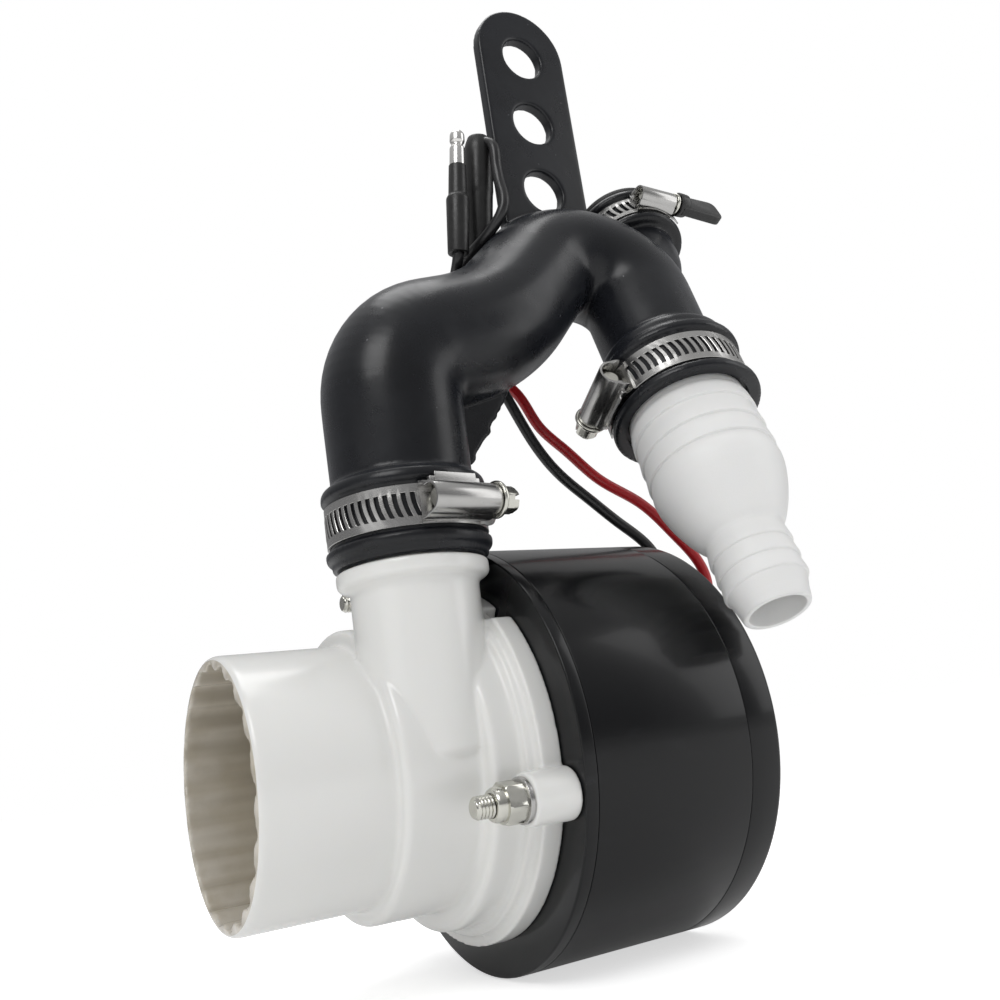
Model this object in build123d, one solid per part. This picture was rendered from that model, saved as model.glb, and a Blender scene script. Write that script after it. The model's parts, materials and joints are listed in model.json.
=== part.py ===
from build123d import *
import math
import os

os.makedirs("parts", exist_ok=True)

# Frame: X runs along the pump axis from the inlet mouth (x = 0) to the motor cover,
# Z runs up along the discharge neck and -Y is the side the outlet hose leans to.

# ---- wet end housing ----
INLET_R = 37.0          # outside radius of the inlet socket tube
INLET_BORE_R = 34.3     # bore between the flutes
INLET_DEPTH = 34.0      # depth of the socket
ROOT_X, ROOT_RISE = 35.7, 1.0       # small cone where the tube meets the volute
FLUTE_COUNT = 20        # shallow axial flutes round the socket bore
FLUTE_R = 4.6
FLUTE_DEPTH = 1.2
EYE_R = 20.0            # hole from the socket into the cutting chamber
EYE_X = 38.0
BODY_STEPS = ((36.5, 60.0, 41.6), (59.5, 69.0, 47.6), (68.5, 72.0, 50.2))
STEP_FILLET = 1.6
FLANGE_X0 = 71.0
FLANGE_R = 53.4
CHAMBER_R = 36.0
COUNTERBORE_X = 66.0
COUNTERBORE_R = 44.0
HOUSING_END = 77.5

# ---- discharge neck ----
NECK_X = 54.4
NECK_Y = -25.0
NECK_R = 18.6
NECK_BORE_R = 14.5
COLLAR_R = 22.1
COLLAR_Z0, COLLAR_Z1 = 51.0, 55.0
SPIGOT_R = 18.2
SPIGOT_TOP = 77.0
RELIEF_R = 51.3         # flange radius beside the neck
RELIEF_Y0, RELIEF_Y1 = -32.0, -8.0
NOTCH_Y0, NOTCH_Z = -41.0, 37.5
NOTCH_R = 46.0

# ---- studs holding the wet end to the motor ----
STUD_PCR = 55.3
STUD_ANGLES = (192.8, 72.8, 312.8)     # degrees from +Y towards +Z
STUD_R = 3.0
STUD_TIP_X = 48.6
STUD_HOLE_R = 3.25
BOSS_R = 7.0
BOSS_X0 = 63.7
WASHER_R, WASHER_T = 6.05, 1.5
NUT_AF = 10.0
NUT_HEX_T = 5.6
NUT_T = 8.4
NUT_COLLAR_R = 4.5
STUD_HEAD_R, STUD_HEAD_T = 5.0, 4.0

# ---- seal plate ----
SEAL_PLATE_R = 43.9
SEAL_PLATE_X1 = 77.4
ORING_X0, ORING_X1 = 70.2, 72.8
ORING_DEPTH = 2.0
SEAL_R = 9.0
SEAL_X1 = 71.0

# ---- motor cover ----
COVER_R = 63.5
COVER_RING_X0, COVER_RING_X1 = 77.6, 81.6
COVER_HOLE_R = 40.2
SLEEVE_X1 = 135.4
COVER_WALL = 2.8
CAP_X1 = 147.0
CAP_FACE_T = 3.5
CAP_EDGE = 1.1
CAP_LIP_X0 = 131.0
CAP_LIP_T = 2.0
COVER_SCREW_R = 2.0
COVER_SCREW_HEAD_R, COVER_SCREW_HEAD_T = 3.9, 2.6
COVER_SCREW_X0 = 79.0

# ---- motor ----
PLATE_X0, PLATE_X1 = 77.5, 88.0
PLATE_R = 49.5
PLATE_HUB_R = 40.0
CAN_R, CAN_BORE_R = 49.5, 47.0
CAN_X1 = 132.0
MAGNET_R0, MAGNET_R1 = 39.5, 46.9
MAGNET_X0, MAGNET_X1 = 94.0, 122.0
MAGNET_SPAN = 130.0
BELL_X1 = 137.0
BELL_HUB_X1 = 141.5
BELL_HUB_R = 16.0
BEARING_R, BEARING_T = 11.0, 7.0
FRONT_BEARING_X0 = 80.0
SLINGER_R = 8.0
REAR_BEARING_X0 = 133.0
SHAFT_R = 4.0
SHAFT_X0, SHAFT_X1 = 48.0, 139.8
RUN_GAP = 0.05
CORE_R = 38.6
CORE_X0, CORE_X1 = 96.0, 118.0
CORE_SLOTS = 12
WINDING_R, WINDING_BORE_R = 33.0, 12.0
WINDING_OVERHANG = 4.5
COMM_R = 13.0
COMM_X0, COMM_X1 = 123.2, 130.0
CARD_X0, CARD_X1 = 130.4, 132.0
BRUSH_W, BRUSH_T = 6.0, 5.0
BRUSH_R0, BRUSH_R1 = 13.05, 24.0
HOLDER_R0, HOLDER_R1 = 15.5, 34.0
HOLDER_WALL = 0.8
THROUGH_BOLT_R = 2.0
THROUGH_BOLT_PCR = 43.5

# ---- impeller and chopper ----
IMP_R = 34.0
IMP_X0, IMP_DISC_X, IMP_X1 = 54.0, 62.0, 64.5
IMP_VANES = 5
IMP_VANE_T = 3.2
CHOP_X0, CHOP_X1 = 51.4, 54.0
CHOP_LEN, CHOP_W = 31.0, 12.0

# ---- outlet hose ----
HOSE_R, HOSE_BORE_R = 19.6, 16.0
CUFF_R = 22.7           # seat of the clamp band
CUFF_BEAD_R = 24.3
CUFF_LEN = 21.0
CUFF_BEAD_T = 3.6
CUFF_BORE_R = 18.25
MOUTH_R = 21.0          # recess in the cuff mouth for the first barb
LOWER_CUFF_Z = 58.0
LOWER_BEAD_R = 23.1     # low bead of the neck cuff, flattened where it meets the cover
LIP_R, LIP_Z0 = 22.9, 56.0
HOSE_CORNERS = ((54.4, -25.0, 77.0), (54.4, -25.0, 120.7), (93.0, -25.0, 132.0), (157.4, -8.5, 199.1))
HOSE_BENDS = (24.0, 59.0, 24.0)         # centreline radius at each corner after the first
OUTLET_POINT = (149.0, -48.3, 96.8)     # centre of the upper cuff mouth
OUTLET_DIR = (-0.071, -0.367, -0.930)   # way the outlet points

# ---- hanging strap moulded on the hose crest ----
STRAP_X, STRAP_Y = 127.2, -18.0
STRAP_W, STRAP_T = 36.4, 5.0
STRAP_TOP = 267.0
STRAP_ROOT = 168.0
STRAP_HOLE_R = 8.0
STRAP_HOLE_Z = (192.0, 219.5, 247.0)

# ---- gusset web in the first bend ----
WEB_T = 4.0
WEB_OUTLINE = ((62, 84), (79, 87), (95, 110), (100, 132), (70, 130))

# ---- capped branch on the crest ----
BRANCH_POINT = (168.6, -12.0, 181.0)    # middle of the branch clamp band
BRANCH_DIR = (0.054, 0.43, 0.90)
BRANCH_R = 17.0
BRANCH_BEAD_R = 19.3
BRANCH_NECK_R = 14.6
BRANCH_BORE_R = 12.5
BRANCH_TOP, BRANCH_FOOT = 8.0, -9.0
BRANCH_ROOT = (151.0, -27.0, 150.0)
BRANCH_KNEE = (166.0, -22.0, 161.0)

# ---- stepped adapter: axial position from the cuff mouth and radius ----
ADAPTER_PROFILE = ((-19, 17.6), (-2, 18.2), (-2, 19.6), (1, 19.8), (7, 20.9), (7, 20.1),
                   (14.5, 21.0), (14.5, 20.1), (22, 21.0), (22, 20.3), (29, 20.4), (35, 18.6),
                   (42, 15.2), (48, 11.9), (50, 12.5), (58.5, 12.9), (59, 12.2), (65, 12.2),
                   (65, 11.9), (70, 11.3), (74, 10.3))
ADAPTER_BORES = ((-19, 15.2), (28, 15.2), (46, 9.1), (74, 9.1))

# ---- worm clamps: band seat radius, band width ----
BAND_T = 0.8
BAND_W = 11.6
SMALL_BAND_W = 8.2
HOUSING_LEN, HOUSING_W, HOUSING_H = 22.0, 12.4, 8.6
SMALL_CLAMP_SCALE = 0.72
SCREW_R = 3.0
SCREW_COLLAR_R = 5.4
SCREW_HEAD_AF = 7.0
SCREW_GAP = 0.06
SLOT_W, SLOT_DEPTH = 1.2, 1.2
HEAD_LEN = 5.0
COLLAR_T = 1.3
UPPER_CLAMP_TURN = 280.0        # degrees round the hose from the clamp's own zero
LOWER_CLAMP_TURN = 8.0
BRANCH_CLAMP_TURN = 2.0
KEY_LEN, KEY_T, KEY_W = 19.0, 3.4, 10.6
KEY_SLEEVE_R = 4.4

# ---- leads and bullet connectors ----
LEAD_R = 1.9
BLACK_LEAD = ((141.8, -12, 44), (149, -12, 44.5), (156, -11, 50), (157.8, -8, 60.7), (147.7, -5, 72.4),
              (138.6, -2, 82), (129.6, 1, 92), (123, 4, 104), (117.3, 5, 116.6), (111, 5.5, 131),
              (105, 4.5, 143), (99, 2, 155), (96.5, -4, 163), (98, -12.5, 167.8), (101.6, -21, 172.4),
              (105, -26, 180), (105.3, -25, 189), (105.3, -24.8, 198.5), (105, -23.6, 205),
              (103.8, -20, 206.6), (103.05, -17.85, 200.4))
RED_LEAD = ((141.8, -4, 44), (150, -4, 43), (163, -6, 36.5), (174, -11, 40), (176.3, -12, 51.1),
            (169.3, -8, 67), (159.2, -4, 80.2), (145.2, -1, 89.7), (134.9, 3, 102.1), (127.1, 6, 112),
            (121.5, 8, 124.5), (115.5, 10.5, 131.5), (108, 10.8, 137), (100, 7, 144), (94, -2, 151),
            (90, -11.5, 156.5), (88.3, -18.2, 160.2), (88.77, -19.2, 164.7))
GROMMET_Y, GROMMET_Z = -8.0, 44.0
GROMMET_R = 10.0
GROMMET_HOLES = ((-12.0, 44.3), (-4.0, 43.4))
FEMALE_FOOT, FEMALE_TOP = (101.72, -13.7, 176.2), (102.95, -17.53, 201.0)
FEMALE_R = 4.7
MALE_FOOT, MALE_TOP = (88.6, -19.0, 162.7), (91.3, -22.0, 194.5)
MALE_TIP_LEN = 13.0
MALE_R, MALE_PIN_R = 4.0, 2.4

# ---- duckbill valve in the spigot ----
VALVE_R = 14.3


def cyl_x(r, x0, x1, y=0.0, z=0.0):
    return Plane(origin=(x0, y, z), z_dir=(1, 0, 0)) * extrude(Circle(r), x1 - x0)


def ring_x(r_out, r_in, x0, x1, y=0.0, z=0.0):
    return cyl_x(r_out, x0, x1, y, z) - cyl_x(r_in, x0 - 1, x1 + 1, y, z)


def on_circle(radius, degrees):
    a = math.radians(degrees)
    return radius * math.cos(a), radius * math.sin(a)


def rod(start, end, r):
    a, b = Vector(*start), Vector(*end)
    return Plane(origin=a, z_dir=b - a) * extrude(Circle(r), (b - a).length)


def tube_along(points, r):
    path = Spline(*points)
    section = Plane(origin=path @ 0, z_dir=path % 0) * Circle(r)
    return sweep(section, path=path)


def bent_path(corners, radii):
    """Straight runs joined by circular bends, through the corner points in space."""
    points = [Vector(*c) for c in corners]
    edges = []
    start = points[0]
    for i, radius in enumerate(radii, 1):
        back = (points[i - 1] - points[i]).normalized()
        ahead = (points[i + 1] - points[i]).normalized()
        half = math.radians(back.get_angle(ahead)) / 2
        reach = radius / math.tan(half)
        enter = points[i] + back * reach
        leave = points[i] + ahead * reach
        centre = points[i] + (back + ahead).normalized() * (radius / math.sin(half))
        middle = centre + (points[i] - centre).normalized() * radius
        edges.append(Line(start, enter))
        edges.append(ThreePointArc(enter, middle, leave))
        start = leave
    edges.append(Line(start, points[-1]))
    return Wire([e.edge() for e in edges])


def revolve_profile(points):
    """Solid of revolution about Z from (height, radius) points."""
    outline = [(r, h) for h, r in points]
    outline = [(0, points[0][0])] + outline + [(0, points[-1][0])]
    face = make_face(Polyline(*outline, close=True))
    return revolve(Plane.XZ * face, Axis.Z)


def outlet_plane(offset=0.0):
    p, d = Vector(*OUTLET_POINT), Vector(*OUTLET_DIR).normalized()
    return Plane(origin=p + d * offset, x_dir=(1, 0, 0), z_dir=d)


def branch_plane(offset=0.0):
    p, d = Vector(*BRANCH_POINT), Vector(*BRANCH_DIR).normalized()
    return Plane(origin=p + d * offset, x_dir=(1, 0, 0), z_dir=d)


def neck_plane(z):
    return Plane(origin=(NECK_X, NECK_Y, z), x_dir=(1, 0, 0), z_dir=(0, 0, 1))


def stud_points():
    return [on_circle(STUD_PCR, a) for a in STUD_ANGLES]


def between_studs(radius):
    return [on_circle(radius, a + 60) for a in STUD_ANGLES]


def pump_housing():
    body = cyl_x(INLET_R, 0, EYE_X)
    root = Cone(INLET_R, INLET_R + ROOT_RISE, ROOT_RISE, align=(Align.CENTER, Align.CENTER, Align.MIN))
    body += Plane(origin=(ROOT_X, 0, 0), z_dir=(1, 0, 0)) * root
    for x0, x1, r in BODY_STEPS:
        step = cyl_x(r, x0, x1)
        body += fillet(step.edges().sort_by(Axis.X)[0], STEP_FILLET)
    body += cyl_x(FLANGE_R, FLANGE_X0, HOUSING_END)
    body += neck_plane(0) * extrude(Circle(NECK_R), COLLAR_Z1)
    body += Pos(NECK_X, NECK_Y, 0) * Sphere(NECK_R)
    body += neck_plane(COLLAR_Z0) * extrude(Circle(COLLAR_R), COLLAR_Z1 - COLLAR_Z0)
    body += neck_plane(COLLAR_Z1) * extrude(Circle(SPIGOT_R), SPIGOT_TOP - COLLAR_Z1)
    body -= flange_relief()
    for y, z in stud_points():
        body += cyl_x(BOSS_R, BOSS_X0, HOUSING_END, y, z)
    body -= cyl_x(CHAMBER_R, EYE_X, COUNTERBORE_X + 1)
    body -= cyl_x(COUNTERBORE_R, COUNTERBORE_X, HOUSING_END + 1)
    body -= neck_plane(8) * extrude(Circle(NECK_BORE_R), SPIGOT_TOP)
    body -= cyl_x(INLET_BORE_R, -1, INLET_DEPTH)
    body -= cyl_x(EYE_R, INLET_DEPTH - 1, EYE_X + 1)
    for i in range(FLUTE_COUNT):
        y, z = on_circle(INLET_BORE_R - FLUTE_R + FLUTE_DEPTH, 360 * i / FLUTE_COUNT)
        body -= cyl_x(FLUTE_R, -1, INLET_DEPTH, y, z)
    for y, z in stud_points():
        body -= cyl_x(STUD_HOLE_R, BOSS_X0 - 1, HOUSING_END + 1, y, z)
        body -= cyl_x(WASHER_R + 0.6, BOSS_X0 - 20, BOSS_X0, y, z)
    return body


def flange_relief():
    """Part of the flange cut back beside the neck, ending in a small flat notch."""
    x0, x1 = FLANGE_X0 - 1, HOUSING_END + 1
    height = FLANGE_R + 2 - NOTCH_Z
    mid_z = NOTCH_Z + height / 2
    mid_x = (x0 + x1) / 2
    beside = Pos(mid_x, (RELIEF_Y0 + RELIEF_Y1) / 2, mid_z) * Box(x1 - x0, RELIEF_Y1 - RELIEF_Y0, height)
    notch = Pos(mid_x, (NOTCH_Y0 + RELIEF_Y0) / 2, mid_z) * Box(x1 - x0, RELIEF_Y0 - NOTCH_Y0, height)
    return (beside - cyl_x(RELIEF_R, x0 - 1, x1 + 1)) + (notch - cyl_x(NOTCH_R, x0 - 1, x1 + 1))


def seal_plate():
    body = cyl_x(SEAL_PLATE_R, COUNTERBORE_X, SEAL_PLATE_X1)
    body -= ring_x(SEAL_PLATE_R + 1, SEAL_PLATE_R - ORING_DEPTH, ORING_X0 - 0.1, ORING_X1 + 0.1)
    body -= cyl_x(SEAL_R, COUNTERBORE_X - 1, SEAL_X1)
    body -= cyl_x(SHAFT_R + 0.6, COUNTERBORE_X, SEAL_PLATE_X1 + 1)
    return body


def housing_o_ring():
    return ring_x(SEAL_PLATE_R + 0.05, SEAL_PLATE_R - ORING_DEPTH + 0.05, ORING_X0, ORING_X1)


def shaft_seal():
    return ring_x(SEAL_R, SHAFT_R + RUN_GAP, COUNTERBORE_X + 0.2, SEAL_X1)


def stud_bolts():
    bolts = []
    for y, z in stud_points():
        bolt = cyl_x(STUD_R, STUD_TIP_X, COVER_RING_X1, y, z)
        bolt = chamfer(bolt.edges().sort_by(Axis.X)[0], 0.6)
        bolts.append(bolt + cyl_x(STUD_HEAD_R, COVER_RING_X1, COVER_RING_X1 + STUD_HEAD_T, y, z))
    return Compound(children=bolts)


def washers():
    x1 = BOSS_X0
    rings = [ring_x(WASHER_R, STUD_R + 0.1, x1 - WASHER_T, x1, y, z) for y, z in stud_points()]
    return Compound(children=rings)


def lock_nuts():
    x1 = BOSS_X0 - WASHER_T
    nuts = []
    for y, z in stud_points():
        hexagon = RegularPolygon(NUT_AF / 2, 6, major_radius=False)
        nut = Plane(origin=(x1 - NUT_HEX_T, y, z), z_dir=(1, 0, 0)) * extrude(hexagon, NUT_HEX_T)
        nut += cyl_x(NUT_COLLAR_R, x1 - NUT_T, x1 - NUT_HEX_T, y, z)
        nuts.append(nut - cyl_x(STUD_R, x1 - NUT_T - 1, x1 + 1, y, z))
    return Compound(children=nuts)


def cover_front_ring():
    body = ring_x(COVER_R, COVER_HOLE_R, COVER_RING_X0, COVER_RING_X1)
    for y, z in stud_points():
        body -= cyl_x(STUD_R, COVER_RING_X0 - 1, COVER_RING_X1 + 1, y, z)
    for y, z in between_studs(STUD_PCR):
        body -= cyl_x(COVER_SCREW_R, COVER_SCREW_X0, COVER_RING_X1 + 1, y, z)
    return body


def cover_sleeve():
    return ring_x(COVER_R, COVER_R - COVER_WALL, COVER_RING_X1, SLEEVE_X1)


def cover_rear_cap():
    shell = cyl_x(COVER_R, SLEEVE_X1, CAP_X1)
    shell = fillet(shell.edges().sort_by(Axis.X)[-1], CAP_EDGE)
    bore = COVER_R - COVER_WALL
    shell -= cyl_x(bore - CAP_LIP_T, SLEEVE_X1 - 1, CAP_X1 - CAP_FACE_T)
    shell += ring_x(bore - 0.1, bore - CAP_LIP_T, CAP_LIP_X0, SLEEVE_X1 + 1)
    for y, z in between_studs(STUD_PCR):
        shell -= cyl_x(COVER_SCREW_R + 0.2, CAP_X1 - CAP_FACE_T - 1, CAP_X1 + 1, y, z)
    shell -= cyl_x(GROMMET_R - 2, CAP_X1 - CAP_FACE_T - 1, CAP_X1 + 1, GROMMET_Y, GROMMET_Z)
    return shell


def cover_screws():
    screws = []
    for y, z in between_studs(STUD_PCR):
        screw = cyl_x(COVER_SCREW_R, COVER_SCREW_X0, CAP_X1, y, z)
        head = cyl_x(COVER_SCREW_HEAD_R, CAP_X1, CAP_X1 + COVER_SCREW_HEAD_T, y, z)
        screws.append(screw + fillet(head.edges().sort_by(Axis.X)[-1], 1.2))
    return Compound(children=screws)


def cable_grommet():
    body = cyl_x(GROMMET_R, CAP_X1, CAP_X1 + 2, GROMMET_Y, GROMMET_Z)
    body += cyl_x(GROMMET_R - 2, CAP_X1 - CAP_FACE_T, CAP_X1, GROMMET_Y, GROMMET_Z)
    body += cyl_x(GROMMET_R, CAP_X1 - CAP_FACE_T - 1.5, CAP_X1 - CAP_FACE_T, GROMMET_Y, GROMMET_Z)
    for y, z in GROMMET_HOLES:
        body -= cyl_x(LEAD_R + 1.0, CAP_X1 - 10, CAP_X1 + 5, y, z)
    return body


def motor_front_plate():
    body = cyl_x(PLATE_R, COVER_RING_X1, PLATE_X1) + cyl_x(PLATE_HUB_R, PLATE_X0, COVER_RING_X1)
    body -= cyl_x(SHAFT_R + 1, PLATE_X0 - 1, PLATE_X1 + 1)
    body -= cyl_x(BEARING_R, FRONT_BEARING_X0, PLATE_X1 + 1)
    body -= cyl_x(SLINGER_R + 1, PLATE_X0 - 1, FRONT_BEARING_X0 - 0.2)
    for y, z in through_bolt_points():
        body -= cyl_x(THROUGH_BOLT_R, PLATE_X1 - 5, PLATE_X1 + 1, y, z)
    return body


def through_bolt_points():
    return [(0, THROUGH_BOLT_PCR), (0, -THROUGH_BOLT_PCR)]


def front_bearing():
    return bearing(FRONT_BEARING_X0)


def rear_bearing():
    return bearing(REAR_BEARING_X0)


def bearing(x0):
    body = ring_x(BEARING_R, SHAFT_R + RUN_GAP, x0, x0 + BEARING_T)
    for x in (x0, x0 + BEARING_T - 0.5):
        body -= ring_x(BEARING_R - 2.2, SHAFT_R + 2, x, x + 0.5)
    return body


def motor_can():
    return ring_x(CAN_R, CAN_BORE_R, PLATE_X1, CAN_X1)


def motor_magnets():
    arcs = []
    for side in (0, 180):
        arc = ring_x(MAGNET_R1, MAGNET_R0, MAGNET_X0, MAGNET_X1)
        half = MAGNET_SPAN / 2
        corner = [(0, 0)]
        corner += [on_circle(80, side - half + 10 * i) for i in range(int(MAGNET_SPAN / 10) + 1)]
        wedge = make_face(Polyline(*corner, close=True))
        across = Plane(origin=(MAGNET_X0, 0, 0), x_dir=(0, 1, 0), z_dir=(1, 0, 0))
        arcs.append(arc & (across * extrude(wedge, MAGNET_X1 - MAGNET_X0)))
    return Compound(children=arcs)


def motor_end_bell():
    body = cyl_x(CAN_R, CAN_X1, BELL_X1) + cyl_x(BELL_HUB_R, BELL_X1 - 1, BELL_HUB_X1)
    body -= cyl_x(BEARING_R, CAN_X1 - 1, REAR_BEARING_X0 + BEARING_T)
    for y, z in through_bolt_points():
        body -= cyl_x(THROUGH_BOLT_R, CAN_X1 - 1, BELL_X1 + 1, y, z)
    for y in (GROMMET_Y - 4, GROMMET_Y + 4):
        body -= cyl_x(LEAD_R + 0.3, CAN_X1 - 1, BELL_X1 + 1, y, BELL_HUB_R + 12)
    return body


def motor_through_bolts():
    bolts = []
    for y, z in through_bolt_points():
        bolt = cyl_x(THROUGH_BOLT_R, PLATE_X1 - 5, BELL_X1, y, z)
        bolts.append(bolt + cyl_x(THROUGH_BOLT_R * 1.8, BELL_X1, BELL_X1 + 3, y, z))
    return Compound(children=bolts)


def brush_card():
    body = ring_x(CAN_BORE_R - 0.1, COMM_R + 2.5, CARD_X0, CARD_X1)
    for y, z in through_bolt_points():
        body -= cyl_x(THROUGH_BOLT_R + 0.4, CARD_X0 - 1, CARD_X1 + 1, y, z)
    return body


def brush_box(r0, r1, grow, side):
    """Block lying along Z between two radii, side +1 up and -1 down."""
    x0 = CARD_X0 - HOLDER_WALL - BRUSH_W - grow
    x1 = CARD_X0 - HOLDER_WALL + grow
    half = BRUSH_T / 2 + grow
    box = Box(x1 - x0, half * 2, r1 - r0)
    return Pos((x0 + x1) / 2, 0, side * (r0 + r1) / 2) * box


def brush_holders():
    boxes = []
    for side in (1, -1):
        shell = brush_box(HOLDER_R0, HOLDER_R1, HOLDER_WALL, side)
        shell -= brush_box(HOLDER_R0 - 1, HOLDER_R1 - HOLDER_WALL, 0.05, side)
        boxes.append(shell)
    return Compound(children=boxes)


def brush(side):
    return brush_box(BRUSH_R0, BRUSH_R1, 0, side) - cyl_x(COMM_R + RUN_GAP, COMM_X0 - 1, COMM_X1 + 2)


def brush_spring(side):
    x = CARD_X0 - HOLDER_WALL - BRUSH_W / 2
    pitch, turns, wire, coil = 2.2, 3.8, 0.3, 1.9
    path = Helix(pitch=pitch, height=pitch * turns, radius=coil)
    section = Plane(origin=path @ 0, z_dir=path % 0) * Circle(wire)
    coil_solid = sweep(section, path=path, is_frenet=True)
    foot = BRUSH_R1 + wire + 0.1
    frame = Plane(origin=(x, 0, side * foot), z_dir=(0, 0, side))
    return frame * coil_solid


def motor_shaft():
    return cyl_x(SHAFT_R, SHAFT_X0, SHAFT_X1)


def armature_core():
    body = ring_x(CORE_R, SHAFT_R, CORE_X0, CORE_X1)
    for i in range(CORE_SLOTS):
        angle = 360 * i / CORE_SLOTS
        y, z = on_circle(CORE_R - 10, angle)
        body -= cyl_x(4.6, CORE_X0 - 1, CORE_X1 + 1, y, z)
        y, z = on_circle(CORE_R - 3, angle)
        slot = Box(CORE_X1 - CORE_X0 + 2, 10, 2.4)
        body -= Pos((CORE_X0 + CORE_X1) / 2, y, z) * (Rot(X=angle) * slot)
    return body


def armature_windings():
    body = ring_x(WINDING_R, WINDING_BORE_R, CORE_X0 - WINDING_OVERHANG, CORE_X0)
    body += ring_x(WINDING_R, WINDING_BORE_R, CORE_X1, CORE_X1 + WINDING_OVERHANG)
    for i in range(CORE_SLOTS):
        y, z = on_circle(CORE_R - 10, 360 * i / CORE_SLOTS)
        body += cyl_x(4.3, CORE_X0 - 0.5, CORE_X1 + 0.5, y, z)
    return body


def commutator():
    body = ring_x(COMM_R, SHAFT_R, COMM_X0, COMM_X1)
    for i in range(CORE_SLOTS):
        angle = 360 * i / CORE_SLOTS
        y, z = on_circle(COMM_R, angle)
        body -= Pos((COMM_X0 + COMM_X1) / 2, y, z) * (Rot(X=angle) * Box(COMM_X1 - COMM_X0 + 2, 2, 0.5))
    return body


def water_slinger():
    return ring_x(SLINGER_R, SHAFT_R, SEAL_PLATE_X1 + 0.6, SEAL_PLATE_X1 + 2.2)


def impeller():
    body = cyl_x(IMP_R, IMP_DISC_X, IMP_X1) + cyl_x(8.5, IMP_X0, IMP_X1)
    for i in range(IMP_VANES):
        angle = 360 * i / IMP_VANES
        vane = Pos((IMP_X0 + IMP_DISC_X) / 2 + 0.5, (IMP_R + 3) / 2, 0)
        vane = vane * Box(IMP_DISC_X - IMP_X0 + 1, IMP_R - 5, IMP_VANE_T)
        body += Rot(X=angle) * vane
    return body - cyl_x(SHAFT_R, IMP_X0 - 1, IMP_X1 + 1)


def chopper_plate():
    bar = Pos((CHOP_X0 + CHOP_X1) / 2, 0, 0) * Box(CHOP_X1 - CHOP_X0, CHOP_LEN * 2, CHOP_W)
    disc = cyl_x(12, CHOP_X0, CHOP_X1)
    tips = Pos((CHOP_X0 + CHOP_X1) / 2, 0, 0) * Box(CHOP_X1 - CHOP_X0, 20, CHOP_LEN * 1.4)
    return bar + disc + tips - cyl_x(SHAFT_R, CHOP_X0 - 1, CHOP_X1 + 1)


def impeller_nut():
    hexagon = RegularPolygon(6.5, 6, major_radius=False)
    nut = Plane(origin=(CHOP_X0 - 6, 0, 0), z_dir=(1, 0, 0)) * extrude(hexagon, 6)
    return nut - cyl_x(SHAFT_R, CHOP_X0 - 3.4, CHOP_X0 + 1)


def cuff(frame_at, bead_r, seat_r, length, bead_t, first_bead_r=None):
    """Sleeve with a clamp seat between two beads; the first bead may have its own radius."""
    body = frame_at(0) * extrude(Circle(seat_r), length)
    for start, r in ((0, first_bead_r or bead_r), (length - bead_t, bead_r)):
        bead = frame_at(start) * extrude(Circle(r), bead_t)
        body += fillet(bead.edges(), bead_t * 0.3)
    return body


def upper_frame(offset):
    return outlet_plane(-CUFF_LEN + offset)


def lower_frame(offset):
    return neck_plane(LOWER_CUFF_Z + offset)


def branch_frame(offset):
    return branch_plane(BRANCH_FOOT + offset)


def hose_tube(r, extra=0.0):
    """Swept round bar along the hose, carried past the top of the outlet cuff by extra."""
    down = Vector(*OUTLET_DIR).normalized()
    end = Vector(*OUTLET_POINT) - down * (CUFF_LEN - 1 - extra)
    path = bent_path(HOSE_CORNERS + ((end.X, end.Y, end.Z),), HOSE_BENDS)
    section = Plane(origin=path @ 0, x_dir=(0.6, 0.8, 0), z_dir=path % 0) * Circle(r)
    return sweep(section, path=path)


def web():
    return Pos(0, NECK_Y, 0) * (Plane.XZ * extrude(Polygon(*WEB_OUTLINE, align=None), WEB_T / 2, both=True))


def discharge_hose():
    lower = cuff(lower_frame, CUFF_BEAD_R, CUFF_R, CUFF_LEN, CUFF_BEAD_T, LOWER_BEAD_R)
    upper = cuff(upper_frame, CUFF_BEAD_R, CUFF_R, CUFF_LEN, CUFF_BEAD_T)
    lip = neck_plane(LIP_Z0) * extrude(Circle(LIP_R), LOWER_CUFF_Z - LIP_Z0 + 0.5)
    body = hose_tube(HOSE_R).fuse(lower, lip, upper, strap(), web(), branch_solid())
    body -= hose_tube(HOSE_BORE_R, 3.0)
    body -= neck_plane(LIP_Z0 - 1) * extrude(Circle(CUFF_BORE_R), SPIGOT_TOP - LIP_Z0 + 1.5)
    body -= outlet_plane(-19.3) * extrude(Circle(CUFF_BORE_R), 20)
    body -= outlet_plane(-2.2) * extrude(Circle(MOUTH_R), 3)
    body -= branch_bore()
    return body


def strap():
    z_mid = STRAP_TOP - STRAP_W / 2
    outline = Pos(STRAP_X, (STRAP_ROOT + z_mid) / 2) * Rectangle(STRAP_W, z_mid - STRAP_ROOT)
    outline += Pos(STRAP_X, z_mid) * Circle(STRAP_W / 2)
    for z in STRAP_HOLE_Z:
        outline -= Pos(STRAP_X, z) * Circle(STRAP_HOLE_R)
    return Pos(0, STRAP_Y, 0) * (Plane.XZ * extrude(outline, STRAP_T / 2, both=True))


def branch_path():
    foot = branch_plane(BRANCH_FOOT + 2).origin
    return (BRANCH_ROOT, BRANCH_KNEE, (foot.X, foot.Y, foot.Z))


def branch_solid():
    root, knee, foot = branch_path()
    body = rod(root, knee, BRANCH_NECK_R) + Pos(*knee) * Sphere(BRANCH_NECK_R)
    body += rod(knee, foot, BRANCH_NECK_R)
    length = BRANCH_TOP - BRANCH_FOOT
    return body + cuff(branch_frame, BRANCH_BEAD_R, BRANCH_R, length, 3.0)


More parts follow.
